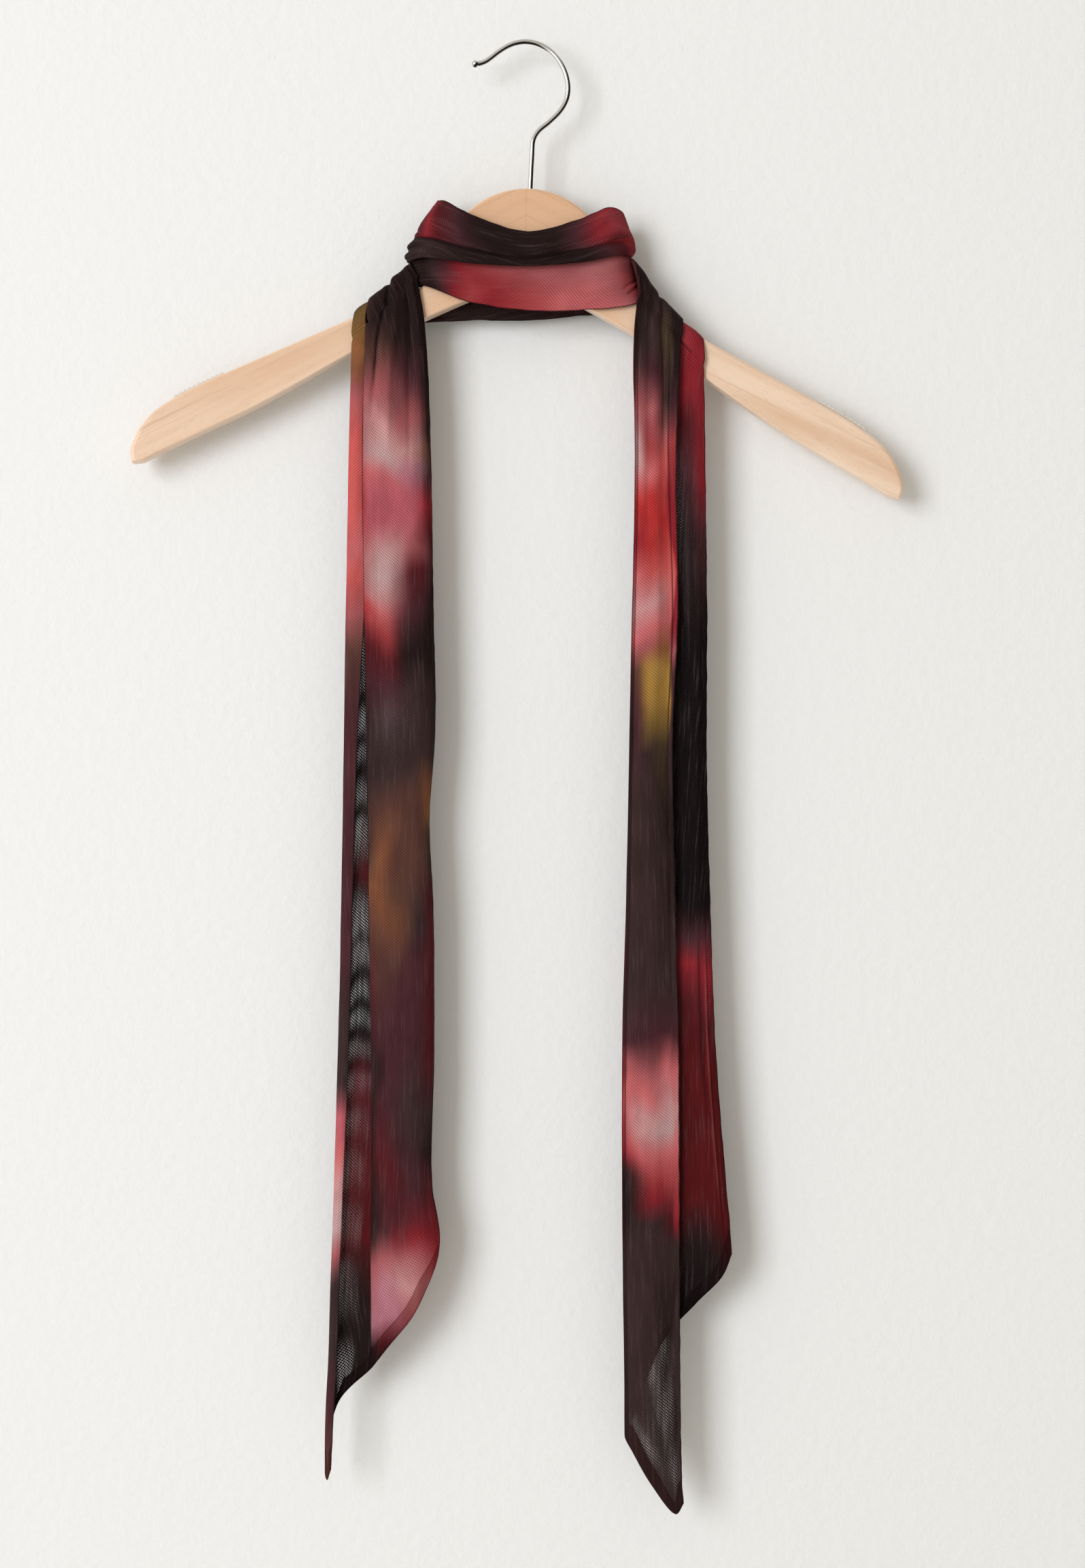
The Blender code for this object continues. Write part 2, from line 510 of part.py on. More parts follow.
def build_cloth(collection):
    print_colors = {
        "tail_left": (0.16, 0.04, 0.06),
        "tail_right": (0.20, 0.03, 0.05),
        "neck_band_upper": (0.12, 0.03, 0.04),
        "neck_band_lower": (0.40, 0.06, 0.08),
        "back_pass_first": (0.05, 0.02, 0.03),
        "back_pass_second": (0.14, 0.04, 0.05),
        "back_pass_last": (0.22, 0.05, 0.07),
    }
    inks = {name: material(name + " mesh", color, 0.6) for name, color in print_colors.items()}
    left_turn = (LEFT_OVER_ARM, LEFT_TURN_AXIS, LEFT_TURN_SLOPE)
    right_turn = (RIGHT_OVER_ARM, RIGHT_TURN_AXIS, RIGHT_TURN_SLOPE)
    left = tail_rows(LEFT_WIDTHS, LEFT_DEPTHS, LEFT_ENDS, left_turn, -1)
    right = tail_rows(RIGHT_WIDTHS, RIGHT_DEPTHS, RIGHT_ENDS, right_turn, 1)
    upper, lower = band_rows(UPPER_BAND), band_rows(LOWER_BAND)
    left_outer = ("edge", "shoulder", "belly", "flank", "ridge", "far_edge", "strip", "fold")
    right_outer = ("fold", "front_side", "front_belly", "crease", "front_edge", "back_bulge", "back_edge")
    left_end = tail_end(left_turn, -1, [LEFT_LINES.index(line) for line in left_outer])
    right_end = tail_end(right_turn, 1, [RIGHT_LINES.index(line) for line in right_outer])
    lower_fine, upper_fine = spline(lower, BAND_STEPS), spline(upper, BAND_STEPS)
    first_pass = pass_rows(left_end, FIRST_PASS, lower_fine[[-1, -2]])
    second_pass = pass_rows(lower_fine[[0, 1]], SECOND_PASS, upper_fine[[-1, -2]])
    last_pass = pass_rows(upper_fine[[0, 1]], LAST_PASS, right_end)
    pieces = (
        ("tail_left", left, 1),
        ("tail_right", right, 1),
        ("neck_band_upper", upper, BAND_STEPS),
        ("neck_band_lower", lower, BAND_STEPS),
        ("back_pass_first", first_pass, PASS_STEPS),
        ("back_pass_second", second_pass, PASS_STEPS),
        ("back_pass_last", last_pass, PASS_STEPS),
    )
    for name, rows, row_steps in pieces:
        cloth(name, rows, row_steps, collection, inks[name])


def build():
    clear_scene()
    scene = bpy.context.scene
    collection = bpy.data.collections.new("Mesh scarf on hanger")
    cutters = bpy.data.collections.new("Cutters")
    scene.collection.children.link(collection)
    scene.collection.children.link(cutters)
    hanger = bpy.data.objects.new("Hanger seat", None)
    collection.objects.link(hanger)
    hanger.rotation_euler.y = HANGER_LEAN
    build_wood(hanger, collection, cutters)
    build_hook(hanger, collection)
    clear = material("Clear grip", (0.85, 0.78, 0.68), 0.35)
    build_grip("grip_left", -1, hanger, collection, clear)
    build_grip("grip_right", 1, hanger, collection, clear)
    build_cloth(collection)


build()
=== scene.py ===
"""Looks for a long narrow mesh scarf wound round the neck of a wooden hanger.

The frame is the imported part: origin at the hook's seat, +X to the viewer's right, +Z up, -Y the front.
Tables are in millimetres. The scene is in metres.
"""

from math import cos, pi, radians, sin

import bpy
import numpy as np
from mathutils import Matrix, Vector, noise


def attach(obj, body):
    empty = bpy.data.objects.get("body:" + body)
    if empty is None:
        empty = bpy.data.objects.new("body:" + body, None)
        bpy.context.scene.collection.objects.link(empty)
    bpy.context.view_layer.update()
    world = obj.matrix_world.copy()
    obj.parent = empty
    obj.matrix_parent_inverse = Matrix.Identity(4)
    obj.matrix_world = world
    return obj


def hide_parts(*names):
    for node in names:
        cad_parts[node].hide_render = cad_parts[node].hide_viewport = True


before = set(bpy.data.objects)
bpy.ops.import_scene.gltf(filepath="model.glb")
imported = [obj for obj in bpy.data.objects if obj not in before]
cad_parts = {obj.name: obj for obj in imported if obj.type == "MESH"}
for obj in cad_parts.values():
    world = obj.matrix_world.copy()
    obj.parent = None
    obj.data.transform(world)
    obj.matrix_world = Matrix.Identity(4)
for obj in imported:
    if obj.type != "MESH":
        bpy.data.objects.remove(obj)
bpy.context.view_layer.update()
MM = 0.001
# The least that a length is divided by, and a distance beyond everything
TINY = 1e-6
FAR = 1000.0

# Photograph: its size in pixels, the real size of one, and the pixel at the hook's seat
PHOTO_WIDE, PHOTO_HIGH = 1596, 2306
PIXEL = 0.3847
SEAT_PIXEL = (773.8, 63.5)
CAMERA_DISTANCE = 1500.0
# The pixel's size holds at this depth, between the board's front and the scarf's, and the camera
# stands a little lower than the picture's middle, to share out what perspective moves
MEAN_DEPTH = -8.0
CAMERA_DROP = 1.4

# Studio, in metres: the wall's distance behind the hanger's middle, and the floor's height
WALL_DISTANCE = 0.02
FLOOR = -1.5
# The room's light is brightest on this side, where a tall window stands
BRIGHT_SIDE = (-0.8, -0.4, 0.3)

# Hanger, in its own upright frame
HANGER_LEAN = radians(2.73)
STEM_X = 6.25
WOOD_THICK = 12.0
UPPER_ROUND = 4.0
LOWER_ROUND = 1.6
DOME_RADIUS = 48.5
DOME_HEIGHT = -131.0
DOME_SWEEP = radians(66)
DOME_STEPS = 28
ARM_UPPER = (
    (48, -122.5), (51.5, -133), (60, -142), (76, -150.2), (100, -161.9), (134, -178.6),
    (168.5, -195.6), (192, -208.2), (208, -219.6), (216.6, -232), (219.7, -243), (218.2, -248.6),
)
ARM_LOWER = (
    (212.5, -247.7), (204, -242.8), (180.5, -230.2), (150.5, -214.2), (123, -197.4), (98, -181.6),
    (60, -161.3), (36, -149.2), (15, -139.6), (0, -137),
)
ARM_SLOPE = radians(26.5)
# Steps from one point of the arm's edge or of the wire to the next
CURVE_STEPS = 8
WIRE_RADIUS = 1.4
BALL_RADIUS = 2.0
BALL_START = radians(4)
BALL_STEPS = 25
HOOK_ROUTE = (
    (-28.4, -12.3), (-25, -11.6), (-22.2, -10.3), (-19.6, -8.3), (-16, -5.2), (-10.6, -1.4), (-5.6, 0.8),
    (0, 1.75), (7.6, 0.5), (15.3, -4), (20.9, -10.9), (24, -18), (25, -24.5), (24.2, -30.6),
    (21.2, -36.6), (15.3, -43.2), (9.2, -48.9), (6.6, -54), (6.25, -64), (6.25, -97.5),
)
# The side on which the wire's colour has a painted reflection of the dark end of the room, to the lower
# right
WIRE_PAINTED_REFLECTION_SIDE = (0.7, 0, -0.7)
# Grips: the ribs, the strip under them, where along the arm it starts, and its gap above the arm's edge
RIB_COUNT = 11
RIB_PITCH = 2.9
RIB_HEIGHT = 1.5
RIB_HALF = 0.95
RIB_STEPS = 9
GRIP_BASE = 0.7
GRIP_WIDTH = 5.0
GRIP_START = 168.5
GRIP_ROUND = 0.15
GAP = 0.3

# Thickness of the scarf's shells
SHELL = 0.5
# A pass starts this far inside the stretch that it meets, and its second row is this far outside
OVERLAP = 0.4
LEAD = 2.0

LEFT_LINES = ("edge", "shoulder", "belly", "flank", "ridge", "tuck", "recess", "fold", "strip", "far_edge")
# Height, then the x of each line there
LEFT_WIDTHS = (
    (-126, -64.5, -67, -74, -81, -88.3, -82, -91, -97, -95, -90.4),
    (-138, -61.2, -64, -72.2, -81.2, -89.2, -82.4, -91.4, -97.4, -95.2, -89.9),
    (-163, -57.2, -59.5, -69, -82, -90.6, -82, -92, -98.2, -95.5, -89),
    (-232, -54, -57, -66, -80, -92, -84, -94, -100, -97, -90.4),
    (-318, -52.4, -55.5, -65, -79, -91.4, -83, -95, -101.6, -98, -91),
    (-390, -51.4, -54.5, -64, -78, -89.9, -83, -95.5, -102.5, -99.5, -94.8),
    (-441, -54.8, -57.5, -65.5, -77.5, -89.2, -83.5, -95.5, -103.4, -100.3, -96.6),
    (-489, -52.6, -55.5, -64.5, -77, -88.7, -84, -96, -104.2, -101.2, -97.8),
    (-576, -52, -55, -64, -76, -87.4, -84.5, -97, -106.1, -103.4, -100.1),
    (-648, -52.9, -55.8, -64, -76, -87, -86.3, -98, -108.4, -105.9, -103),
    (-674, -48.8, -52.6, -62.5, -75.5, -87, -88, -99, -109.3, -107.2, -104),
    (-686, -49.4, -53, -62.8, -75.8, -87, -88.2, -99.4, -109.8, -107.6, -104.6),
    (-697, -52.2, -55, -63.5, -76.4, -86.8, -88.4, -99.8, -110.2, -107.9, -105),
    (-750, -51, -56, -63.5, -77, -86.2, -88.6, -101.5, -111.8, -109.4, -106.8),
    (-776, -51, -56, -63.5, -77, -86.2, -88.6, -107, -113.2, -111, -108.4),
    (-813, -51, -56, -63.5, -77, -86.2, -88.6, -107, -113.8, -112.2, -110.2),
)
# Height, then the y of each line
LEFT_DEPTHS = (
    (-163, -8.6, -11, -12.4, -13.4, -13, -10.4, -7.5, -8.6, -10.4, -10.6),
    (-250, -9.5, -12.6, -15, -15.8, -14.2, -11, -7.6, -9.4, -11.6, -11.8),
    (-330, -9.3, -12.4, -14.8, -15.4, -14, -10.6, -7.6, -9.5, -11.8, -12.1),
    (-441, -9, -12.2, -14.6, -14.8, -13.2, -10.2, -7.6, -9.6, -12.2, -12.8),
    (-654, -10.4, -12.8, -15.4, -14.6, -11.8, -9.4, -8, -9.9, -12.6, -13),
    (-813, -11.4, -13.4, -15.2, -14, -11.2, -9.4, -8.2, -10.2, -13, -13.4),
)
LEFT_ENDS = (-694, -704, -720.5, -737, -749, -752, -770, -809, -813, -807)
# Where each line turns over the arm: its place along the slanting axis of the turn, its rise above that,
# its reach in front and behind, and how far it slants down along the axis on its way to the front
LEFT_OVER_ARM = (
    (20.2, 9.4, 8.2, 2.4), (17.2, 9.6, 9.4, 2.6), (8.6, 9.6, 10.2, 5.5), (0, 9.9, 10.2, 8),
    (-10.8, 10.5, 10.4, 10), (-4.5, 7.6, 7.8, 9), (-14.5, 8.4, 7.8, 10.5), (-21.8, 10.8, 8.8, 11.5),
    (-18.2, 11.4, 10.2, 11.8), (-11, 9.8, 10, 11.5),
)
# The whole turn: its lines, the axis's x and height, its slope, and the side of the hanger
LEFT_TURN = (LEFT_OVER_ARM, (-73.9, -145.5), radians(44), -1)
# The lines that lie outside where the tail ends behind the arm, from its upper edge round to its lower one
LEFT_OUTER = ("edge", "shoulder", "belly", "flank", "ridge", "far_edge", "strip", "fold")

RIGHT_LINES = (
    "front_edge", "crease", "front_belly", "front_side", "fold", "back_side", "back_middle", "back_right",
    "back_bulge", "back_edge",
)
RIGHT_WIDTHS = (
    (-124, 88, 79, 73, 66.8, 63.6, 66, 76, 88, 96.5, 100),
    (-146, 87.8, 79.8, 72.5, 66, 63.3, 66.2, 77, 89, 96.8, 100.1),
    (-165, 87.6, 80.2, 72, 64.6, 61.6, 66, 78, 90, 97, 100.3),
    (-240, 84.8, 79.6, 71.5, 64.4, 61.6, 66, 78, 90, 97.6, 101.4),
    (-326, 85.8, 81.6, 71, 63.2, 60.1, 64.5, 77, 90, 98, 102.4),
    (-393, 82.8, 79, 70, 61.8, 58.7, 63.5, 76, 89.5, 97.6, 102),
    (-480, 84.3, 80.4, 69.5, 60.2, 57, 62.5, 76, 90, 99, 104),
    (-566, 86.1, 81.6, 69.5, 58.2, 54.7, 61, 76, 91, 101, 107),
    (-645, 86.6, 82.2, 70, 58, 54.4, 60.5, 77, 93.5, 106, 113),
    (-692, 86.8, 82.4, 70, 58.2, 54.9, 60.5, 78, 96, 110.5, 116.6),
    (-788, 87.4, 82.8, 70.5, 60.2, 55.9, 61, 78, 96, 110.5, 116),
    (-816, 88.2, 83, 70.5, 60.2, 55.9, 61, 78, 96, 110.5, 116),
    (-832, 89.6, 84.6, 70.5, 60.2, 55.9, 61, 78, 96, 110.5, 116),
)
RIGHT_DEPTHS = (
    (-165, -11.2, -11, -12.6, -12.2, -10, -7.9, -7.4, -7.5, -8.6, -7.6),
    (-250, -13, -12.4, -14.8, -14, -11, -8.3, -7.6, -8.2, -10.2, -8.4),
    (-480, -12.6, -12.8, -15.2, -14.2, -11.2, -8.4, -7.6, -8.4, -10.6, -8.8),
    (-692, -12.6, -13.2, -15.6, -14.4, -11.4, -8.6, -8, -9.2, -11.8, -9.6),
    (-832, -13, -13.8, -15.8, -15.2, -11.6, -8.4, -8, -9.2, -11.8, -9.6),
)
RIGHT_ENDS = (-826, -832, -815, -797, -787.5, -778, -735, -714, -698.5, -686)
RIGHT_OVER_ARM = (
    (-22.5, 10.2, 10.2, 9), (-10.1, 9.8, 10, 10), (0, 10.4, 10.4, 11.5), (13.2, 12.4, 10.2, 15),
    (22.4, 12.4, 9, 19.1), (13.5, 8.8, 7.8, 14.5), (-3, 7.6, 7.7, 11), (-20.4, 8.4, 7.7, 9),
    (-32.9, 11, 8.8, 11), (-38.8, 11.2, 9, 11.7),
)
RIGHT_TURN = (RIGHT_OVER_ARM, (65.8, -146.7), radians(47), 1)
RIGHT_OUTER = ("fold", "front_side", "front_belly", "crease", "front_edge", "back_bulge", "back_edge")
# How far a tail turns over the arm, the step back from its last row, and how square the turn is
TURNED_PAST_TOP = radians(118)
END_STEP = radians(2)
TURN_SQUARENESS = 0.65

# Neck bands: for each lengthwise line its x, its y and its height at nine stations round the neck, from
# back left round the front to back right
UPPER_BAND = (
    ("top edge", (-44, -50.4, -46.4, -28, 1, 29, 47, 55.4, 48),
     (11.6, 1, -9, -11.2, -12, -11.4, -10, 0, 8.6),
     (-92.5, -89.6, -91, -100.4, -108.7, -102, -94.8, -96.6, -99.5)),
    ("face", (-50, -59.2, -53, -30, 1, 31, 50, 58.6, 50),
     (12.2, 1, -11.6, -15, -16.4, -15.2, -12, 0, 9.4),
     (-99.5, -101, -101.5, -108.4, -116, -109.6, -104.4, -104.8, -105.8)),
    ("lip", (-52.5, -63.2, -56.8, -31.4, 1, 32, 52.8, 61, 51),
     (12.4, 1, -12.6, -16, -16.4, -15.8, -12.4, 0, 9.4),
     (-105.5, -108.6, -111, -118, -123.2, -118, -112.6, -110.4, -109.6)),
    ("crease", (-52, -63.6, -55.8, -31, 1, 32, 51.8, 61.6, 50.6),
     (11.8, 1, -11, -13.8, -15.2, -13.8, -11.2, 0, 9),
     (-107.2, -110.6, -112.2, -119, -124.6, -119.8, -114.8, -113, -111.2)),
    ("pleat", (-54, -67.6, -58.4, -32, 1, 32, 53.4, 62.1, 52),
     (12.6, 1, -12.8, -15.4, -16.2, -15.8, -12.6, 0, 9.6),
     (-110.6, -115, -114.4, -121, -125.9, -121.8, -117, -115.8, -113.4)),
    ("pleat crease", (-53.8, -66.8, -57.6, -31.8, 1, 32, 53.4, 62.1, 51.8),
     (12.2, 1, -11.8, -15.2, -16.5, -16.1, -12.8, 0, 9.4),
     (-113.4, -117.8, -116.6, -122.6, -126.6, -123, -118.2, -117.4, -115.2)),
    ("roll", (-54.8, -68.8, -59.4, -32.2, 1, 32, 53.4, 61.6, 52),
     (12.6, 1, -12.9, -16, -16.6, -16.1, -12.7, 0, 9.6),
     (-115.4, -120.2, -119.6, -124.4, -127.5, -124.4, -119.8, -118.8, -117)),
    ("roll foot", (-54.5, -67.2, -58.8, -32, 1, 32, 53, 60, 52),
     (12.4, 1, -12, -15, -15.6, -15, -11.8, 0, 9.2),
     (-118.5, -123.8, -123.2, -126.9, -128.7, -126.4, -121.8, -120.8, -119.6)),
    ("tuck", (-52.5, -64.2, -56.2, -31.5, 1, 31.5, 51, 57.2, 50),
     (12, 1, -10.2, -12.4, -12.9, -12.4, -10.2, 0, 8.8),
     (-119.5, -123.2, -121.8, -124.8, -126.4, -124.4, -120.4, -121, -121.6)),
)
LOWER_BAND = (
    ("hidden edge", (-56, -65, -54.5, -31, 1, 31, 49, 55.4, 48),
     (8.8, 0.5, -7.6, -9, -9.6, -9, -7.6, 0, 7.2),
     (-122, -121, -120.4, -121.4, -122.8, -121.2, -119.4, -120.2, -121)),
    ("top edge", (-57, -66.4, -55.4, -31, 1, 31, 51, 59.6, 50),
     (9.2, 0.5, -7.9, -9.4, -10, -9.4, -8, 0, 7.4),
     (-125, -124.2, -124.6, -125.2, -126.6, -124.6, -121.8, -121.9, -123.4)),
    ("upper face", (-57.2, -66.8, -56.4, -31.5, 1, 31.5, 52.4, 61.6, 53),
     (9.8, 0.5, -9, -11, -11.8, -11, -9.4, 0, 8),
     (-128.4, -127.6, -128.2, -131.6, -135, -132.4, -129, -128.2, -130)),
    ("face", (-57.2, -66.4, -56.8, -32, 1, 32, 54, 63, 55.5),
     (10, 0.5, -9.2, -11.4, -12.3, -11.4, -10.4, 0, 8.2),
     (-131.8, -131.2, -132.4, -138.4, -142, -140, -136.8, -134.2, -136)),
    ("lower face", (-57, -65.2, -56.8, -32, 1, 32, 56.5, 65.2, 58.5),
     (9.8, 0.5, -8.8, -10.2, -11, -10.2, -9.8, 0, 8),
     (-134.8, -134.2, -136.2, -143.6, -148.2, -146.6, -143.6, -140, -142.2)),
    ("lower edge", (-56.6, -64.8, -56.8, -32, 1, 32, 60, 67.4, 61),
     (9.4, 0.5, -8, -7.9, -8.6, -7.9, -8.8, 0, 7.8),
     (-137.4, -136.8, -138.8, -147.8, -152.6, -152.4, -149.8, -144.8, -148.6)),
)

# Passes behind the hanger: for each section the x of its five lengthwise lines, or the one that all share,
# then their y and their heights
FIRST_PASS = (
    ((-68.4, -71.5, -76.5, -83, -91.2), (7.8, 9, 9.2, 8.8, 7.7), (-136.4, -140.8, -145.8, -151.2, -158.8)),
    ((-58, -59, -60, -61, -62), (7.4, 8, 7.4, 8.1, 7.4), (-141, -144.4, -148.2, -152.6, -157.2)),
    (-30, (7.4, 8.1, 7.4, 8.1, 7.4), (-137, -141.2, -145.8, -151, -155.6)),
    (0, (7.4, 8.2, 7.4, 8.2, 7.4), (-130.5, -136.6, -142.8, -149.6, -155.6)),
    (30, (7.4, 8.2, 7.4, 8.2, 7.4), (-125.6, -132.6, -139.6, -146.6, -153)),
)
SECOND_PASS = (
    (-32, (9.4, 10.4, 9.5, 10.3, 9.5), (-118.6, -123.2, -127, -131.2, -135)),
    (0, (9.4, 10.5, 9.5, 10.4, 9.6), (-110, -115.6, -121, -126.4, -131.4)),
    (30, (9.4, 10.4, 9.5, 10.4, 9.6), (-102.6, -108.2, -114.2, -120.2, -126.2)),
)
LAST_PASS = (
    (-28, (12.2, 13.6, 12.4, 13.6, 12.4), (-99.4, -107, -114, -121.4, -128.6)),
    (2, (12.2, 13.8, 12.4, 13.8, 12.4), (-106.6, -115, -123, -131.6, -139.6)),
    (34, (12.6, 13.8, 12.6, 13.6, 12.4), (-114.6, -123.8, -132.6, -141.4, -149)),
    ((56, 59.5, 66.5, 76, 88.6), (12.2, 13, 11.8, 11.8, 9.6), (-121.8, -133.4, -145, -157.6, -169.4)),
)

# Steps from line to line, and rows: down a tail, over the arm, and from station to station
LINE_STEPS = 12
TAIL_ROWS = 230
WRAP_ROWS = 24
BAND_STEPS = 16
PASS_STEPS = 12
RESAMPLE_STEPS = 8
# The least step across a tail's end, and the steepest slope of it, by which the distance from it is measured
FLATTEST_STEP = 0.05
STEEPEST_END = 2

# Unevenness and edge ripple: height, size of the hills across and along in mm, and a seed
UNEVENNESS = ((0.30, 7, 85, 3.1), (0.12, 3, 24, 8.7))
EDGE_RIPPLE = (0.5, 40, 7, 1.7)
EDGE_RIPPLE_REACH = 2.5
LAP_STEEPNESS = 1.6
# Share of a crease's length over which it fades at each end
FADE = 0.22

# The print's colours, as sRGB
INKS = {
    "black": (19, 11, 12), "ink": (36, 23, 22), "umber": (60, 44, 43), "plum": (76, 40, 45),
    "wine": (88, 27, 32), "oxblood": (88, 19, 22), "crimson": (144, 38, 46), "red": (186, 52, 50),
    "brick": (166, 64, 66), "raspberry": (191, 96, 106), "coral": (208, 94, 90), "rose": (204, 106, 108),
    "dusty": (172, 92, 94), "blush": (206, 150, 148), "mist": (198, 164, 162), "mauve": (184, 120, 132),
    "slate": (112, 96, 104), "rust": (130, 80, 54), "bronze": (146, 96, 58), "olive": (112, 86, 44),
    "moss": (70, 56, 38), "gold": (172, 132, 64), "brown": (92, 60, 52),
}
# The wash. Each column: its line, then inks and their runs along the cloth. Colours blend between them and
# from column to column. On a tail the run is the height, and on a band the station
STRIP = (
    "umber -146, olive -162, bronze -176, rust -190, dusty -206, coral -226, coral -262, rose -282, "
    "coral -298, dusty -326, brown -350, plum -380, plum -520, umber -566, umber -596, raspberry -612, "
    "rose -632, blush -650, mist -674, dusty -690, umber -706, umber -740, plum -776, brown -812"
)
LEFT_BACK = "ink -440, wine -470, ink -490, black -560, wine -592, oxblood -680, ink -712, black -800"
LEFT_COLUMNS = (
    (0.3,
     "ink -224, brown -238, plum -250, crimson -262, wine -274, plum -292, ink -312, ink -360, "
     "umber -402, rust -416, bronze -430, moss -444, umber -464, wine -484, wine -575, umber -600, "
     "ink -630, wine -650, crimson -676, brick -694, dusty -706"),
    (1.9,
     "ink -178, plum -198, dusty -216, blush -232, mauve -244, raspberry -258, raspberry -272, "
     "dusty -286, wine -300, plum -320, ink -345, umber -366, umber -410, brown -428, brown -470, "
     "umber -494, plum -516, plum -560, umber -596, plum -650, crimson -668, dusty -684, blush -704, "
     "dusty -722, wine -736, ink -750"),
    (3.3,
     "ink -162, brown -182, dusty -200, blush -218, mist -240, rose -252, raspberry -262, "
     "raspberry -274, blush -286, mist -298, blush -310, rose -320, brick -330, wine -346, plum -364, "
     "umber -384, umber -415, brown -434, rust -460, rust -494, brown -522, plum -552, plum -600, "
     "wine -640, plum -670, dusty -690, mauve -706, mauve -722, wine -736, ink -752"),
    (4.15,
     "ink -120, umber -142, brown -180, dusty -204, dusty -244, crimson -262, dusty -290, crimson -318, "
     "wine -340, ink -380, umber -460, rust -480, brown -510, wine -535, ink -570, ink -680, dusty -698, "
     "mauve -722, ink -738"),
    (4.6, LEFT_BACK), (6.7, LEFT_BACK), (6.95, STRIP), (9, STRIP),
)
RIGHT_BACK = (
    "raspberry -150, crimson -178, crimson -196, wine -220, plum -250, ink -280, black -350, black -486, "
    "plum -508, crimson -524, wine -550, oxblood -580, oxblood -660, ink -688, black -720"
)
RIGHT_COLUMNS = (
    (0.55,
     "ink -190, plum -210, brick -230, crimson -256, crimson -330, dusty -344, plum -360, umber -400, "
     "ink -440, umber -530, plum -562, rose -582, blush -602, rose -628, brick -648, crimson -662, "
     "umber -674"),
    (0.95,
     "ink -120, umber -150, moss -180, umber -206, dusty -226, coral -240, red -270, coral -300, "
     "rose -326, bronze -342, gold -356, gold -376, moss -396, ink -440, umber -530, plum -560, "
     "rose -576, blush -592, mist -612, rose -630, brick -648, wine -660, umber -674, ink -740, "
     "ink -800, umber -822"),
    (2,
     "ink -120, umber -182, plum -196, dusty -211, brick -230, rose -246, red -258, red -284, "
     "coral -300, blush -316, rose -330, dusty -340, gold -352, gold -372, olive -388, umber -402, "
     "umber -540, plum -562, dusty -580, rose -592, blush -606, blush -618, rose -632, brick -644, "
     "crimson -652, umber -662"),
    (3.4,
     "ink -174, umber -190, dusty -206, mist -226, blush -240, rose -252, red -264, crimson -282, "
     "rose -298, blush -316, rose -334, brown -352, plum -376, umber -440, umber -540, plum -560, "
     "dusty -574, rose -592, rose -610, brick -622, crimson -632, ink -642, umber -700"),
    (4.2, RIGHT_BACK), (7.1, RIGHT_BACK),
    (8.4,
     "raspberry -120, crimson -160, crimson -250, plum -275, ink -320, black -350, black -486, "
     "plum -508, crimson -530, wine -565, oxblood -590, oxblood -674, ink -698"),
)
UPPER_FACE = "wine 1.2, crimson 1.6, wine 2, plum 2.6, ink 3.3, ink 4.4, plum 5, crimson 5.7"
UPPER_ROLL = "ink 1, umber 2, ink 3, ink 5, plum 5.5, wine 6, crimson 6.4, wine 8"
UPPER_COLUMNS = ((0, UPPER_FACE), (2.3, UPPER_FACE), (2.9, UPPER_ROLL), (8, UPPER_ROLL))
LOWER_COLUMNS = (
    (1.2,
     "ink 1.8, umber 2.1, plum 2.4, crimson 2.8, brick 3.2, dusty 4, dusty 6.2, wine 7.2, plum 8"),
    (4.2,
     "ink 1.8, plum 2.05, crimson 2.4, brick 2.9, crimson 3.3, brick 3.7, rose 4.4, rose 5, dusty 5.8, "
     "brick 6.4, wine 7.2, plum 8"),
)
FIRST_COLUMNS = ((0, "ink 0"), (4, "ink 0, umber 8"))
SECOND_COLUMNS = ((0, "ink 0, umber 3, plum 6"), (4, "ink 0"))
LAST_COLUMNS = ((0, "wine 0, plum 3, crimson 8"), (4, "ink 0, wine 4, plum 8"))
# How far the wash wanders from its columns: mm along, or lines across, then the hills' sizes and a seed
WASH_DRIFT = (14, 22, 50, 5.3)
WASH_SWAY = (0.7, 16, 40, 9.9)
# The wash sways across only up to this line, and fades out there over this many lines
FACE_END = 4.0
SWAY_FADE = 0.8
# Blots over the columns: ink, line and run of the middle, half size in lines and in run, lean, strength
LEFT_BLOTS = (
    ("rust", 0.9, -232, 0.5, 5, -6, 0.45), ("slate", 1.1, -243, 0.6, 6, -6, 0.3),
    ("mist", 2.9, -294, 0.7, 12, -8, 0.6), ("red", 3.75, -320, 0.35, 5, 8, 0.6),
    ("slate", 2.9, -383, 0.5, 16, 0, 0.35), ("blush", 2.4, -696, 0.7, 10, -8, 0.35),
)
RIGHT_BLOTS = (
    ("ink", 4.7, -130, 0.9, 36, 0, 1), ("mist", 3.2, -238, 0.4, 7, 5, 0.6),
    ("ink", 3.5, -652, 0.8, 12, 12, 0.6), ("slate", 7.1, -300, 0.2, 30, 0, 0.35),
    ("ink", 6.2, -600, 0.5, 90, 0, 0.5),
)
UPPER_BLOTS = (("raspberry", 1, 6.2, 0.9, 0.6, 0, 0.4), ("ink", 1.9, 6, 0.4, 0.5, 0, 0.4))
LOWER_BLOTS = (("wine", 3.6, 6.8, 1.2, 0.2, 0, 0.5), ("blush", 1.8, 5.4, 0.8, 0.6, 0, 0.25))
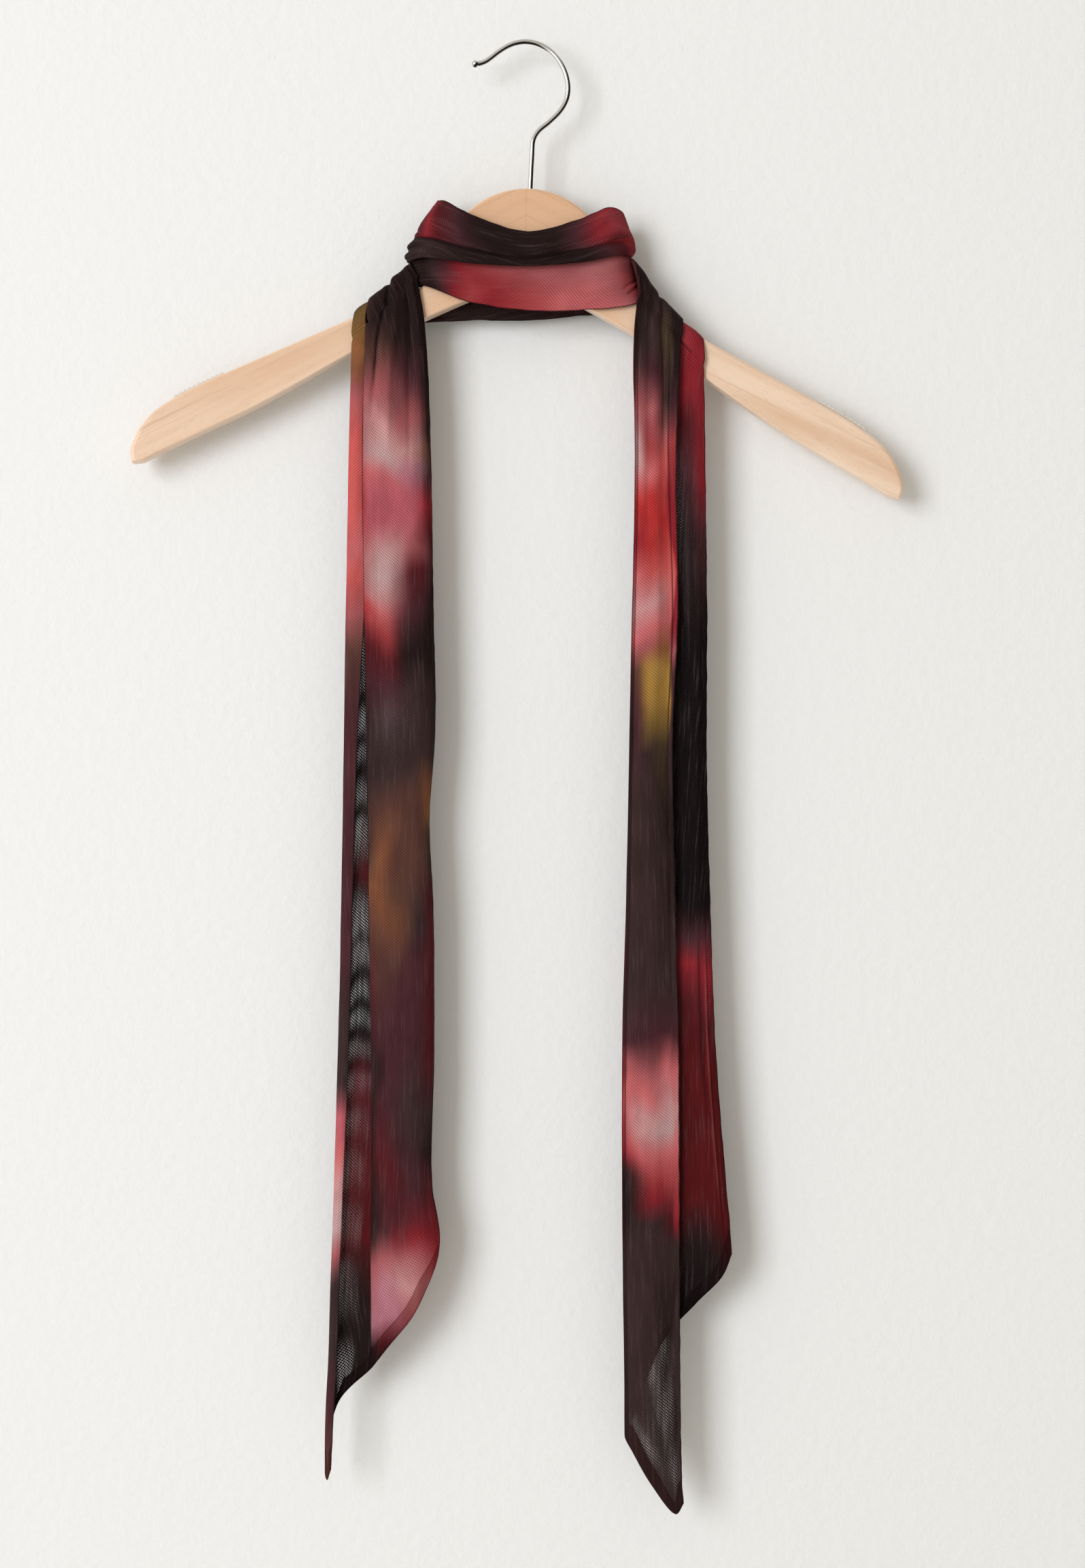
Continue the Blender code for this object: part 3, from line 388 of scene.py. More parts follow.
# Thin lines of painted shade along folds and crease troughs, and of painted highlight on a fold's rim: ink,
# half width in mm, strength, then (run, line) points
# Left tail: painted shadow along the ridge, and painted shade in the crease troughs near the top
LEFT_PAINTED_FOLD_SHADE = (
    ("black", 0.6, 0.85, ((-140, 4), (-330, 4.02), (-560, 4))),
    ("black", 0.7, 0.7, ((-122, 2.5), (-140, 2.75), (-168, 3.2), (-200, 3.4))),
    ("black", 0.6, 0.5, ((-122, 1.4), (-145, 1.6), (-190, 1.9))),
)
# Right tail: painted shade along crease laps and troughs, and a rose painted highlight on the rim of the
# fold at line 8.3
RIGHT_PAINTED_FOLD_SHADE_AND_HIGHLIGHT = (
    ("ink", 0.4, 0.45, ((-150, 0.92), (-330, 0.8), (-420, 0.75))),
    ("black", 0.4, 0.5, ((-130, 3.6), (-170, 3.62), (-215, 3.66))),
    ("rose", 0.35, 0.5, ((-496, 8.25), (-560, 8.2), (-668, 8.25))),
    ("black", 0.5, 0.6, ((-500, 7.75), (-545, 7.72), (-600, 7.8))),
)

# How open the mesh shows: everywhere, and in blots as above without an ink
OPENNESS = 0.05
LEFT_OPEN = ((2.8, -383, 0.6, 24, 0, 0.3), (2.6, -300, 1, 20, 0, 0.10))
RIGHT_OPEN = (
    (1.45, -738, 0.3, 9, -6, 0.9), (1.8, -752, 0.35, 9, -4, 0.9), (1.3, -773, 0.62, 22, 0, 1),
    (2.3, -791, 0.7, 7, 18, 0.85), (0.8, -806, 0.5, 14, 6, 0.8), (0.85, -740, 0.25, 8, 0, 0.4),
    (6.3, -232, 0.2, 26, 0, 1), (6.7, -270, 0.4, 34, 0, 0.5), (7.2, -330, 0.3, 60, 0, 0.2),
    (3.3, -507, 0.4, 12, 0, 0.25), (8, -240, 0.3, 30, 0, 0.2),
)
UPPER_OPEN = ((0.4, 1.9, 0.5, 0.35, 0, 0.6), (0.35, 6.1, 0.35, 0.6, 0, 0.4), (0.2, 2.9, 0.3, 0.6, 0, 0.15))
# The left tail's see-through window: its run, line, half width in lines and openness there. Dark bands where
# its layers cross arch over it: run, half height and depth of each
LEFT_WINDOW = (
    (-316, 5.75, 0.05, 0.5), (-345, 5.75, 0.16, 0.7), (-399, 5.76, 0.27, 0.9), (-440, 5.76, 0.36, 0.9),
    (-553, 5.78, 0.50, 0.95), (-590, 5.85, 0.52, 0.6), (-660, 5.95, 0.50, 0.5), (-706, 6.05, 0.46, 0.5),
    (-745, 6.05, 0.42, 0.75), (-764, 6, 0.30, 0.75),
)
WINDOW_BANDS = (
    (-374, 5, 0.75), (-394, 4, 0.7), (-412, 6, 0.8), (-435, 5, 0.75), (-470, 13, 0.9), (-509, 4, 0.45),
    (-529, 4, 0.75), (-544, 3.5, 0.8), (-560, 4, 0.8), (-577, 5, 0.85), (-598, 6, 0.6), (-622, 7, 0.6),
    (-651, 8, 0.55), (-684, 7, 0.6), (-728, 10, 0.85),
)
# How high the bands arch and how they waver, where in half widths the window's sides end, how softly, and
# over how many mm it starts
WINDOW_ARCH = 5
WINDOW_WAVES = (5, 14, 30, 2.2)
WINDOW_RIM = 1.25
WINDOW_SOFTNESS = 0.5
WINDOW_START = 20

# Creases: profile, half width and depth in mm, then (run, line) points along it. A soft one is a ridge, or a
# trough where its depth is negative. A lap rises on one side and falls on the other
LEFT_CREASES = (
    ("soft", 1.2, -1.5, ((-116, 2.4), (-140, 2.65), (-175, 3.2), (-220, 3.5))),
    ("soft", 1.8, 1, ((-116, 2), (-145, 2.2), (-190, 2.7), (-240, 2.9))),
    ("soft", 1.8, -1.2, ((-114, 1.2), (-140, 1.5), (-190, 1.9), (-250, 2))),
    ("soft", 1.8, 0.8, ((-114, 0.8), (-145, 1.1), (-200, 1.3), (-290, 1.2))),
    ("soft", 1.2, -0.8, ((-114, 0.4), (-145, 0.6), (-205, 0.7))),
    ("lap", 0.8, 0.5, ((-180, 3.35), (-320, 3.35), (-460, 3.3))),
    ("soft", 3, -0.5, ((-260, 2.5), (-330, 2.4), (-420, 2.5))),
    ("soft", 3.2, 0.5, ((-340, 1.5), (-430, 1.7), (-520, 1.4))),
    ("soft", 3, -0.5, ((-470, 2.2), (-560, 2.5), (-650, 2.4))),
    ("soft", 2.2, -0.6, ((-560, 0.9), (-620, 1.1), (-690, 1))),
    ("soft", 3, 0.5, ((-600, 3.1), (-680, 3), (-730, 3.1))),
)
RIGHT_CREASES = (
    ("lap", 0.8, 0.6, ((-126, 0.9), (-165, 0.95), (-200, 0.92), (-330, 0.8), (-440, 0.75))),
    ("soft", 1.2, -1.2, ((-122, 1.7), (-150, 1.5), (-190, 1.25), (-240, 1.2))),
    ("lap", 0.9, 0.5, ((-120, 3.4), (-170, 3.5), (-210, 3.6))),
    ("soft", 1.8, -0.9, ((-118, 2.6), (-150, 2.3), (-200, 2.3), (-290, 2.4))),
    ("soft", 2.2, 0.7, ((-120, 2.1), (-160, 1.9), (-220, 1.7), (-400, 1.7))),
    ("soft", 1.6, -0.6, ((-330, 0.75), (-420, 0.7), (-560, 0.8))),
    ("soft", 3, -0.4, ((-420, 2.4), (-520, 2.2), (-640, 2.5))),
    ("soft", 2.5, 0.4, ((-600, 1.6), (-700, 1.9), (-790, 1.6))),
    ("soft", 2, -0.7, ((-738, 2.2), (-770, 1.9), (-800, 1.2), (-822, 0.8))),
    ("soft", 1, 0.5, ((-200, 7.2), (-300, 7), (-480, 7.3))),
    ("soft", 1.1, -0.6, ((-220, 7.8), (-340, 8), (-520, 7.7))),
    ("soft", 1, -0.8, ((-490, 7.75), (-545, 7.72), (-620, 7.8))),
    ("lap", 0.8, 0.8, ((-480, 8.3), (-580, 8.3), (-690, 8.35))),
)
UPPER_CREASES = (
    ("soft", 0.7, -0.6, ((0.5, 6.6), (1.4, 6.6), (2.2, 6.5), (2.9, 6.9))),
    ("soft", 1, -0.6, ((0.7, 1.7), (1.6, 1.6), (2.4, 1.9))),
    ("soft", 2.6, -1, ((4, 2.4), (4.8, 1.9), (5.5, 1.2), (6.2, 0.6))),
    ("soft", 2.2, 0.7, ((4.8, 2.2), (5.6, 1.7), (6.4, 1.3))),
    ("soft", 1, -0.7, ((5.6, 2.3), (6.3, 2), (7, 1.7))),
    ("soft", 1.4, -0.4, ((2.4, 0.9), (3.3, 1.2), (4.2, 1.5))),
)
LOWER_CREASES = (
    ("soft", 0.8, -0.8, ((5.9, 3.7), (6.3, 3.3), (6.9, 3))),
    ("soft", 0.7, -0.7, ((6, 4.1), (6.4, 3.8), (6.9, 3.4))),
    ("soft", 0.9, 0.6, ((5.9, 3.9), (6.4, 3.55), (6.9, 3.2))),
    ("soft", 1.6, 0.4, ((1.2, 2.6), (2, 2.5), (2.8, 2.7))),
)
PASS_CREASES = (
    ("soft", 2.2, -0.8, ((0.4, 1.5), (3, 1.2), (5.5, 1.7))),
    ("soft", 1.8, 0.7, ((1, 2.6), (3, 2.9), (5, 2.5))),
)

# Mesh: the spacing of its staggered holes across and along, and how far each row of them leans
HOLE_ACROSS = 1.5
HOLE_ALONG = 1.7
HOLE_LEAN = 0.35
# Allowance on each side of a seam, along the slanting end, its soft rim, and the width of a hem's dark edge
SEAM_ALLOWANCE = 3.0
END_ALLOWANCE = 6.6
ALLOWANCE_RIM = 0.3
HEM_EDGE = 0.9

# The stretches of the scarf: wash, blots, thin lines of painted fold shade and highlight, open patches,
# creases, lines that are seamed with an allowance on both sides, and flat size in metres
STRETCHES = {
    "tail_left": (LEFT_COLUMNS, LEFT_BLOTS, LEFT_PAINTED_FOLD_SHADE, LEFT_OPEN, LEFT_CREASES, (), (0.070, 0.71)),
    "tail_right": (
        RIGHT_COLUMNS, RIGHT_BLOTS, RIGHT_PAINTED_FOLD_SHADE_AND_HIGHLIGHT, RIGHT_OPEN, RIGHT_CREASES, (4,), (0.078, 0.73),
    ),
    "neck_band_upper": (UPPER_COLUMNS, UPPER_BLOTS, (), UPPER_OPEN, UPPER_CREASES, (), (0.045, 0.17)),
    "neck_band_lower": (LOWER_COLUMNS, LOWER_BLOTS, (), (), LOWER_CREASES, (), (0.027, 0.17)),
    "back_pass_first": (FIRST_COLUMNS, (), (), (), PASS_CREASES, (), (0.024, 0.155)),
    "back_pass_second": (SECOND_COLUMNS, (), (), (), PASS_CREASES, (), (0.020, 0.115)),
    "back_pass_last": (LAST_COLUMNS, (), (), (), PASS_CREASES, (), (0.034, 0.15)),
}


def srgb(color):
    """An sRGB colour, 0 to 255, as linear values."""
    share = np.asarray(color, float) / 255
    return np.where(share <= 0.04045, share / 12.92, ((share + 0.055) / 1.055) ** 2.4)


def rgba(*color):
    """An opaque linear colour from an sRGB one."""
    return (*srgb(color), 1.0)


def smooth(share):
    """A soft step from 0 to 1."""
    share = np.clip(share, 0, 1)
    return share * share * (3 - 2 * share)


def hermite(start, end, leaving, arriving, t):
    """A place between two others, on a curve that leaves and arrives at these speeds."""
    return (
        start * (2 * t**3 - 3 * t**2 + 1) + end * (3 * t**2 - 2 * t**3)
        + leaving * (t**3 - 2 * t**2 + t) + arriving * (t**3 - t**2)
    )


def spline(points, steps):
    """Points on a smooth curve through the given ones: steps of them from each to the next, and the last.

    The points may be single ones or whole rows, which then make a surface.
    """
    points = np.asarray(points, float)
    moves = points[1:] - points[:-1]
    lengths = np.sqrt((moves**2).sum(axis=-1)).reshape(len(moves), -1).mean(axis=1)
    spans = np.sqrt(np.maximum(lengths, TINY)).reshape((-1,) + (1,) * (points.ndim - 1))
    slopes = moves / spans
    inner = (slopes[:-1] * spans[1:] + slopes[1:] * spans[:-1]) / (spans[:-1] + spans[1:])
    tangents = np.concatenate([slopes[:1], inner, slopes[-1:]])
    made = []
    for i in range(len(moves)):
        leaving, arriving = tangents[i] * spans[i], tangents[i + 1] * spans[i]
        made += [hermite(points[i], points[i + 1], leaving, arriving, step / steps) for step in range(steps)]
    return np.array([*made, points[-1]])


def table_at(table, height, line):
    """The value of one line at a height, smooth through the table's levels."""
    levels = [row[0] for row in table]
    values = [row[line + 1] for row in table]
    if height >= levels[0]:
        return values[0]
    if height <= levels[-1]:
        return values[-1]
    i = next(k for k in range(len(levels) - 1) if height >= levels[k + 1])
    slopes = np.diff(values) / np.diff(levels)
    tangents = [slopes[0], *(slopes[:-1] + slopes[1:]) / 2, slopes[-1]]
    span = levels[i + 1] - levels[i]
    t = (height - levels[i]) / span
    return hermite(values[i], values[i + 1], tangents[i] * span, tangents[i + 1] * span, t)


def over_arm_row(over_arm, axis, slope, side, turned):
    """One row of a tail where it turns over the arm along a slanting axis, from the front up and back."""
    along = np.array([-side * cos(slope), 0, sin(slope)])
    out = np.array([side * sin(slope), 0, cos(slope)])
    middle = np.array([axis[0], 0, axis[1]])
    forward = abs(cos(turned)) ** TURN_SQUARENESS * (1 if turned < pi / 2 else -1)
    upward = sin(turned) ** TURN_SQUARENESS
    row = []
    for place, rise, reach, slant in over_arm:
        drawn = -slant * max(1 - turned / (pi / 2), 0) ** 2
        point = middle + along * (place + drawn) + out * rise * upward
        point[1] -= reach * forward
        row.append(point)
    return row


def tail_rows(widths, depths, ends, turn):
    """A tail's rows from just past the top of the arm, over it and down to the slanting end."""
    rows = [over_arm_row(*turn, turned) for turned in np.linspace(TURNED_PAST_TOP, 0, WRAP_ROWS + 1)]
    starts = [point[2] for point in rows[-1]]
    for i in range(1, TAIL_ROWS + 1):
        heights = [start + (end - start) * (i / TAIL_ROWS) for start, end in zip(starts, ends)]
        places = enumerate(heights)
        rows.append([(table_at(widths, z, line), table_at(depths, z, line), z) for line, z in places])
    return np.array(rows, float)


def tail_end(turn, lines, outer):
    """The row in which a tail ends behind the arm and the one before it, at its outer lines."""
    rows = [over_arm_row(*turn, turned) for turned in (TURNED_PAST_TOP, TURNED_PAST_TOP - END_STEP)]
    return [[row[lines.index(line)] for line in outer] for row in rows]


def band_rows(table):
    """A neck band's sections, a row of its lengthwise lines at each station round the neck."""
    return np.array([places for _, *places in table], float).transpose(2, 0, 1)


def resample(row, count):
    """A row as this many points, evenly along it."""
    fine = spline(row, RESAMPLE_STEPS)
    lengths = np.concatenate([[0], np.cumsum(np.linalg.norm(fine[1:] - fine[:-1], axis=1))])
    wanted = np.linspace(0, lengths[-1], count)
    return np.stack([np.interp(wanted, lengths, fine[:, axis]) for axis in range(3)], axis=1)


def beyond(end, before, count):
    """Two rows that carry a piece's end on, the nearer just inside it."""
    end, before = resample(end, count), resample(before, count)
    moves = end - before
    moves /= np.linalg.norm(moves, axis=1, keepdims=True)
    return end - moves * OVERLAP, end + moves * LEAD


def pass_rows(start, sections, finish):
    """A pass behind the hanger, between the end rows of two pieces, each with the row before it."""
    sections = [np.stack(np.broadcast_arrays(*section), axis=1) for section in sections]
    count = len(sections[0])
    first, second = beyond(*start, count)
    last, next_to_last = beyond(*finish, count)
    return np.array([first, second, *sections, next_to_last, last])


class Cloth:
    """A grid of points on the cloth, with the line and run of each, and how far across and along it is."""

    def __init__(self, rows, row_steps=1, tail=False):
        self.points = spline(np.array([spline(row, LINE_STEPS) for row in rows]), row_steps)
        self.high, self.wide = self.points.shape[:2]
        self.line = np.tile(np.arange(self.wide) / LINE_STEPS, (self.high, 1))
        self.run = np.tile((np.arange(self.high) / row_steps)[:, None], (1, self.wide))
        steps = np.linalg.norm(np.diff(self.points, axis=0), axis=2).mean(axis=1)
        self.along = np.tile(np.concatenate([[0], np.cumsum(steps)])[:, None], (1, self.wide))
        # A tail's rows slant with its end, so it is measured level
        moves = np.diff(self.points, axis=1)[..., : 2 if tail else 3]
        steps = np.linalg.norm(moves, axis=2)
        self.across = np.concatenate([np.zeros((self.high, 1)), np.cumsum(steps, axis=1)], axis=1)
        self.end = np.full((self.high, self.wide), FAR)
        self.run_size = 1.0 if tail else self.along[-1, 0] / self.run[-1, 0]
        if tail:
            self.run_by_height()

    def run_by_height(self):
        """A tail's run is the height below the arm, and goes on upwards over the arm."""
        self.run = self.points[..., 2].copy()
        for i in reversed(range(WRAP_ROWS)):
            self.run[i] = self.run[i + 1] + np.linalg.norm(self.points[i] - self.points[i + 1], axis=1)
        self.along = self.run.copy()
        steps = np.maximum(np.abs(np.gradient(self.points[-1, :, 0])), FLATTEST_STEP)
        slope = np.gradient(self.run[-1]) / steps
        self.end = (self.run - self.run[-1]) / np.hypot(1, np.clip(slope, -STEEPEST_END, STEEPEST_END))

    def margin(self, lines):
        """The distance from the nearest of these lines."""
        away = [np.abs(self.across - self.across[:, round(line * LINE_STEPS)][:, None]) for line in lines]
        return np.minimum.reduce([np.full((self.high, self.wide), FAR), *away])

    def hem(self):
        """The distance from the nearer long edge."""
        return self.margin((0, (self.wide - 1) / LINE_STEPS))

    def cloud(self, height, across, along, seed):
        """Soft noise over the cloth, up to this height, with hills of these sizes in mm."""
        made = np.zeros((self.high, self.wide))
        for i, j in np.ndindex(made.shape):
            made[i, j] = noise.noise(Vector((self.across[i, j] / across, self.along[i, j] / along, seed)))
        return height * made

    def crease(self, creases):
        """Presses the creases into the cloth, and a fine unevenness along it and its edges."""
        down, sideways = np.gradient(self.points, axis=0), np.gradient(self.points, axis=1)
        normals = np.cross(sideways, down)
        normals /= np.maximum(np.linalg.norm(normals, axis=2, keepdims=True), TINY)
        sideways /= np.maximum(np.linalg.norm(sideways, axis=2, keepdims=True), TINY)
        moved = sum(self.cloud(*waves) for waves in UNEVENNESS)
        for profile, half, depth, points in creases:
            away, shown = near_path(self, half, points)
            shape = np.exp(-(away**2)) * (away * LAP_STEEPNESS if profile == "lap" else 1)
            moved += depth * shape * shown
        ripple = self.cloud(*EDGE_RIPPLE) * np.exp(-self.hem() / EDGE_RIPPLE_REACH)
        self.points = self.points + normals * moved[..., None] + sideways * ripple[..., None]


def blot(cloth, line, run, half_lines, half_run, lean):
    """How much of a soft round patch shows at each point."""
    away = (cloth.line - line) / half_lines
    along = (cloth.run - run - lean * (cloth.line - line)) / half_run
    return np.exp(-(away**2) - along**2)


def near_path(cloth, half, points):
    """Each point's distance, in half widths, from a line drawn along the cloth, and how much of it shows."""
    runs, lines = zip(*sorted(points))
    line_size = np.gradient(cloth.across, axis=1) * LINE_STEPS
    away = (cloth.line - np.interp(cloth.run, runs, lines)) * line_size / half
    reach = (cloth.run - runs[0]) / (runs[-1] - runs[0])
    return away, smooth(reach / FADE) * smooth((1 - reach) / FADE)


def column_tones(cloth, text, drift):
    """The colours of one column of the wash at each point's run, as if the whole cloth lay in it."""
    stops = sorted((float(run), ink) for ink, run in (stop.split() for stop in text.split(",")))
    runs, inks = zip(*stops)
    channels = zip(*[INKS[ink] for ink in inks])
    return np.stack([np.interp(cloth.run + drift, runs, channel) for channel in channels], axis=-1)


def wash(cloth, columns, blots, painted_fold_lines):
    """The print's colour at each point: columns that blend and drift, under blots and painted lines of fold
    shade and highlight.
    """
    drift = cloth.cloud(*WASH_DRIFT) / cloth.run_size
    tones = np.array([column_tones(cloth, text, drift) for _, text in columns])
    lines = [line for line, _ in columns]
    swayed = cloth.line + cloth.cloud(*WASH_SWAY) * smooth((FACE_END - cloth.line) / SWAY_FADE)
    place = np.interp(swayed, lines, range(len(lines)))
    before = np.minimum(place.astype(int), len(lines) - 2)
    share = smooth(place - before)[..., None]
    i, j = np.indices(before.shape)
    made = tones[before, i, j] * (1 - share) + tones[before + 1, i, j] * share
    layers = [(ink, blot(cloth, *patch) * strength) for ink, *patch, strength in blots]
    # painted shade and painted highlight along folds, drawn into the print
    for ink, half, strength, points in painted_fold_lines:
        away, shown = near_path(cloth, half, points)
        layers.append((ink, np.exp(-(away**4)) * shown * strength))
    for ink, amount in layers:
        made += (np.array(INKS[ink], float) - made) * amount[..., None]
    return srgb(made)


def openness(cloth, patches, window):
    """How far the mesh shows its holes at each point, from 0 to 1."""
    made = np.full((cloth.high, cloth.wide), OPENNESS)
    for *patch, strength in patches:
        made += (1 - made) * blot(cloth, *patch) * strength
    if window:
        runs, lines, halves, strengths = zip(*sorted(window))
        away = np.abs(cloth.line - np.interp(cloth.run, runs, lines)) / np.interp(cloth.run, runs, halves)
        arched = cloth.run + WINDOW_ARCH * away**2 + cloth.cloud(*WINDOW_WAVES)
        shown = np.interp(cloth.run, runs, strengths)
        for run, half, depth in WINDOW_BANDS:
            shown *= 1 - depth * np.exp(-(((arched - run) / half) ** 2))
        inside = smooth((WINDOW_RIM - away) / WINDOW_SOFTNESS)
        made += (shown - made) * inside * smooth((runs[-1] - cloth.run) / WINDOW_START)
    return made


def new_object(name, data, *materials):
    """An object of this mesh, curve, light or camera, in the scene."""
    for material in materials:
        data.materials.append(material)
    obj = bpy.data.objects.new(name, data)
    bpy.context.scene.collection.objects.link(obj)
    return obj


def dress(name, data, material, node):
    """A piece that takes a node's place."""
    obj = new_object(name, data, material)
    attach(obj, "root")
    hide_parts(node)
    return obj


def with_settings(thing, **settings):
    """The thing, with these settings."""
    for key, value in settings.items():
        setattr(thing, key, value)
    return thing


def new_mesh(name, points, faces):
    """A mesh of these points and faces."""
    mesh = bpy.data.meshes.new(name)
    mesh.from_pydata(points, [], faces)
    return mesh


def fill(layer, key, values):
    """Gives each element of a mesh's layer its value."""
    layer.data.foreach_set(key, values.astype(np.float32).ravel())


def shell(node, cloth, colors, opening, seams, material):
    """A thin closed shell on the cloth's form, with the print and its margins as attributes."""
    corners = [i * cloth.wide + j for i in range(cloth.high - 1) for j in range(cloth.wide - 1)]
    faces = [(corner, corner + 1, corner + cloth.wide + 1, corner + cloth.wide) for corner in corners]
    mesh = new_mesh(f"mesh_{node}", [tuple(point) for point in cloth.points.reshape(-1, 3) * MM], faces)
    mesh.shade_smooth()
    whole = np.ones(opening.shape)
    margins = np.dstack([cloth.margin(seams), cloth.hem(), cloth.end])
    fill(mesh.attributes.new("wash", "FLOAT_COLOR", "POINT"), "color", np.dstack([colors, whole]))
    fill(mesh.attributes.new("openness", "FLOAT", "POINT"), "value", opening)
    fill(mesh.attributes.new("margins", "FLOAT_VECTOR", "POINT"), "vector", margins)
    loops = np.zeros(len(mesh.loops), np.int32)
    mesh.loops.foreach_get("vertex_index", loops)
    places = np.dstack([cloth.across, cloth.along]).reshape(-1, 2)
    fill(mesh.uv_layers.new(name="weave"), "uv", places[loops])
    obj = dress(f"mesh_{node}", mesh, material, node)
    with_settings(obj.modifiers.new("Shell", "SOLIDIFY"), thickness=SHELL * MM, offset=0)
    return obj


class Nodes:
    """Short calls for the node tree of a new material or world."""

    def __init__(self, name, kind="materials", shader="Principled BSDF"):
        self.owner = with_settings(getattr(bpy.data, kind).new(name), use_nodes=True)
        self.tree = self.owner.node_tree
        self.shader = self.tree.nodes[shader]

    def put(self, kind, settings=None, **inputs):
        node = with_settings(self.tree.nodes.new(kind), **(settings or {}))
        for key, value in inputs.items():
            self.into(node, key.replace("_", " "), value)
        return node

    def into(self, node, key, value):
        socket = node.inputs[int(key) if key.isdigit() else key]
        if isinstance(value, bpy.types.NodeSocket):
            self.tree.links.new(value, socket)
        else:
            socket.default_value = value

    def finish(self, **inputs):
        """The material or world, with these inputs on its shader."""
        for key, value in inputs.items():
            self.into(self.shader, key.replace("_", " "), value)
        return self.owner

    def place(self):
        return self.put("ShaderNodeTexCoord").outputs["Object"]

    def normal(self):
        return self.put("ShaderNodeNewGeometry").outputs["Normal"]

    def attribute(self, name, output):
        return self.put("ShaderNodeAttribute", {"attribute_name": name}).outputs[output]

    def parts(self, vector):
        return self.put("ShaderNodeSeparateXYZ", Vector=vector).outputs

    def toward(self, vector, direction):
        """How far a vector points this way."""
        node = self.put("ShaderNodeVectorMath", {"operation": "DOT_PRODUCT"})
        self.into(node, "0", vector)
        self.into(node, "1", direction)
        return node.outputs["Value"]

    def math(self, operation, first, second=0.0, third=0.0):
        node = self.put("ShaderNodeMath", {"operation": operation})
        for i, value in enumerate((first, second, third)):
            self.into(node, str(i), value)
        return node.outputs[0]

    def ramp(self, value, low, high, at_low=0.0, at_high=1.0):
        node = self.put("ShaderNodeMapRange", {"interpolation_type": "SMOOTHSTEP"})
        for i, given in enumerate((value, low, high, at_low, at_high)):
            self.into(node, str(i), given)
        return node.outputs[0]

    def noise(self, vector, stretch, detail, roughness=0.5):
        """Noise with this many hills to a unit along each axis."""
        scaled = self.put("ShaderNodeMapping", {"vector_type": "POINT"}, Vector=vector, Scale=stretch)
        made = self.put("ShaderNodeTexNoise", Scale=1.0, Detail=detail, Roughness=roughness)
        self.into(made, "Vector", scaled.outputs[0])
        return made.outputs["Fac"]

    def layered(self, color, *layers):
        """A colour under others. Each layer: how much of it shows, its sRGB colour, its blend if not MIX."""
        for amount, tone, *blend in layers:
            node = self.put("ShaderNodeMix", {"data_type": "RGBA", "blend_type": (blend or ["MIX"])[0]})
            for key, value in (("0", amount), ("6", color), ("7", rgba(*tone))):
                self.into(node, key, value)
            color = node.outputs[2]
        return color

    def bump(self, height, distance, strength):
        return self.put("ShaderNodeBump", Strength=strength, Distance=distance, Height=height).outputs[0]


def mesh_material():
    """Fine stretch mesh: the print on its yarns, holes between them, and solid seam allowances."""
    made = Nodes("Printed mesh")
    place = made.put("ShaderNodeUVMap", {"uv_map": "weave"}).outputs[0]
    across, along, _ = made.parts(place)
    leaning = made.math("MULTIPLY_ADD", across, HOLE_LEAN, along)
    wale = made.math("COSINE", made.math("MULTIPLY", across, 2 * pi / HOLE_ACROSS))
    course = made.math("COSINE", made.math("MULTIPLY", leaning, 2 * pi / HOLE_ALONG))
    holes = made.ramp(made.math("MULTIPLY", wale, course), -0.15, 0.55)

    seam, hem, end = made.parts(made.attribute("margins", "Vector"))
    in_seam = made.ramp(seam, SEAM_ALLOWANCE, SEAM_ALLOWANCE + ALLOWANCE_RIM, 1.0, 0.0)
    in_end = made.ramp(end, END_ALLOWANCE, END_ALLOWANCE + ALLOWANCE_RIM, 1.0, 0.0)
    in_hem = made.ramp(hem, HEM_EDGE * 0.5, HEM_EDGE, 1.0, 0.0)
    doubled = made.math("MAXIMUM", in_seam, in_end)
    single = made.math("SUBTRACT", 1.0, made.math("MAXIMUM", doubled, in_hem))
    from_seam = made.math("ABSOLUTE", made.math("SUBTRACT", seam, SEAM_ALLOWANCE))
    from_end = made.math("ABSOLUTE", made.math("SUBTRACT", end, END_ALLOWANCE))
    at_seam, at_end = made.ramp(from_seam, 0.1, 0.6, 0.6, 0.0), made.ramp(from_end, 0.1, 0.6, 0.35, 0.0)

    streaks = made.noise(place, (0.8, 0.035, 1.0), 3.0)
    clouds = made.noise(place, (0.09, 0.04, 1.0), 3.0)
    thinned = made.ramp(streaks, 0.3, 0.65, 0.6, 1.0)
    opening = made.math("MULTIPLY", made.attribute("openness", "Fac"), thinned)
    clear = made.math("MULTIPLY", made.math("MULTIPLY", holes, opening), single)
    color = made.layered(
        made.attribute("wash", "Color"),
        (made.ramp(clouds, 0.35, 0.7, 0.0, 0.25), (150, 120, 124), "MULTIPLY"),
        (made.ramp(streaks, 0.5, 0.78, 0.0, 0.07), (190, 160, 160)),
        (made.math("MULTIPLY", holes, 0.6), (120, 96, 98), "MULTIPLY"),
        (made.math("MULTIPLY", doubled, 0.8), (196, 158, 160), "MULTIPLY"),
        (made.math("MAXIMUM", at_seam, at_end), (30, 16, 19)),
        (made.ramp(hem, 0.2, HEM_EDGE, 0.75, 0.0), (22, 12, 14)),
    )
    relief = made.math("MULTIPLY_ADD", streaks, 0.5, made.math("MULTIPLY", holes, -0.4))
    return made.finish(
        Base_Color=color, Alpha=made.math("SUBTRACT", 1.0, clear), Roughness=0.72, Sheen_Weight=0.015,
        Sheen_Roughness=0.35, Specular_IOR_Level=0.06, Normal=made.bump(relief, 0.00025, 0.5),
    )


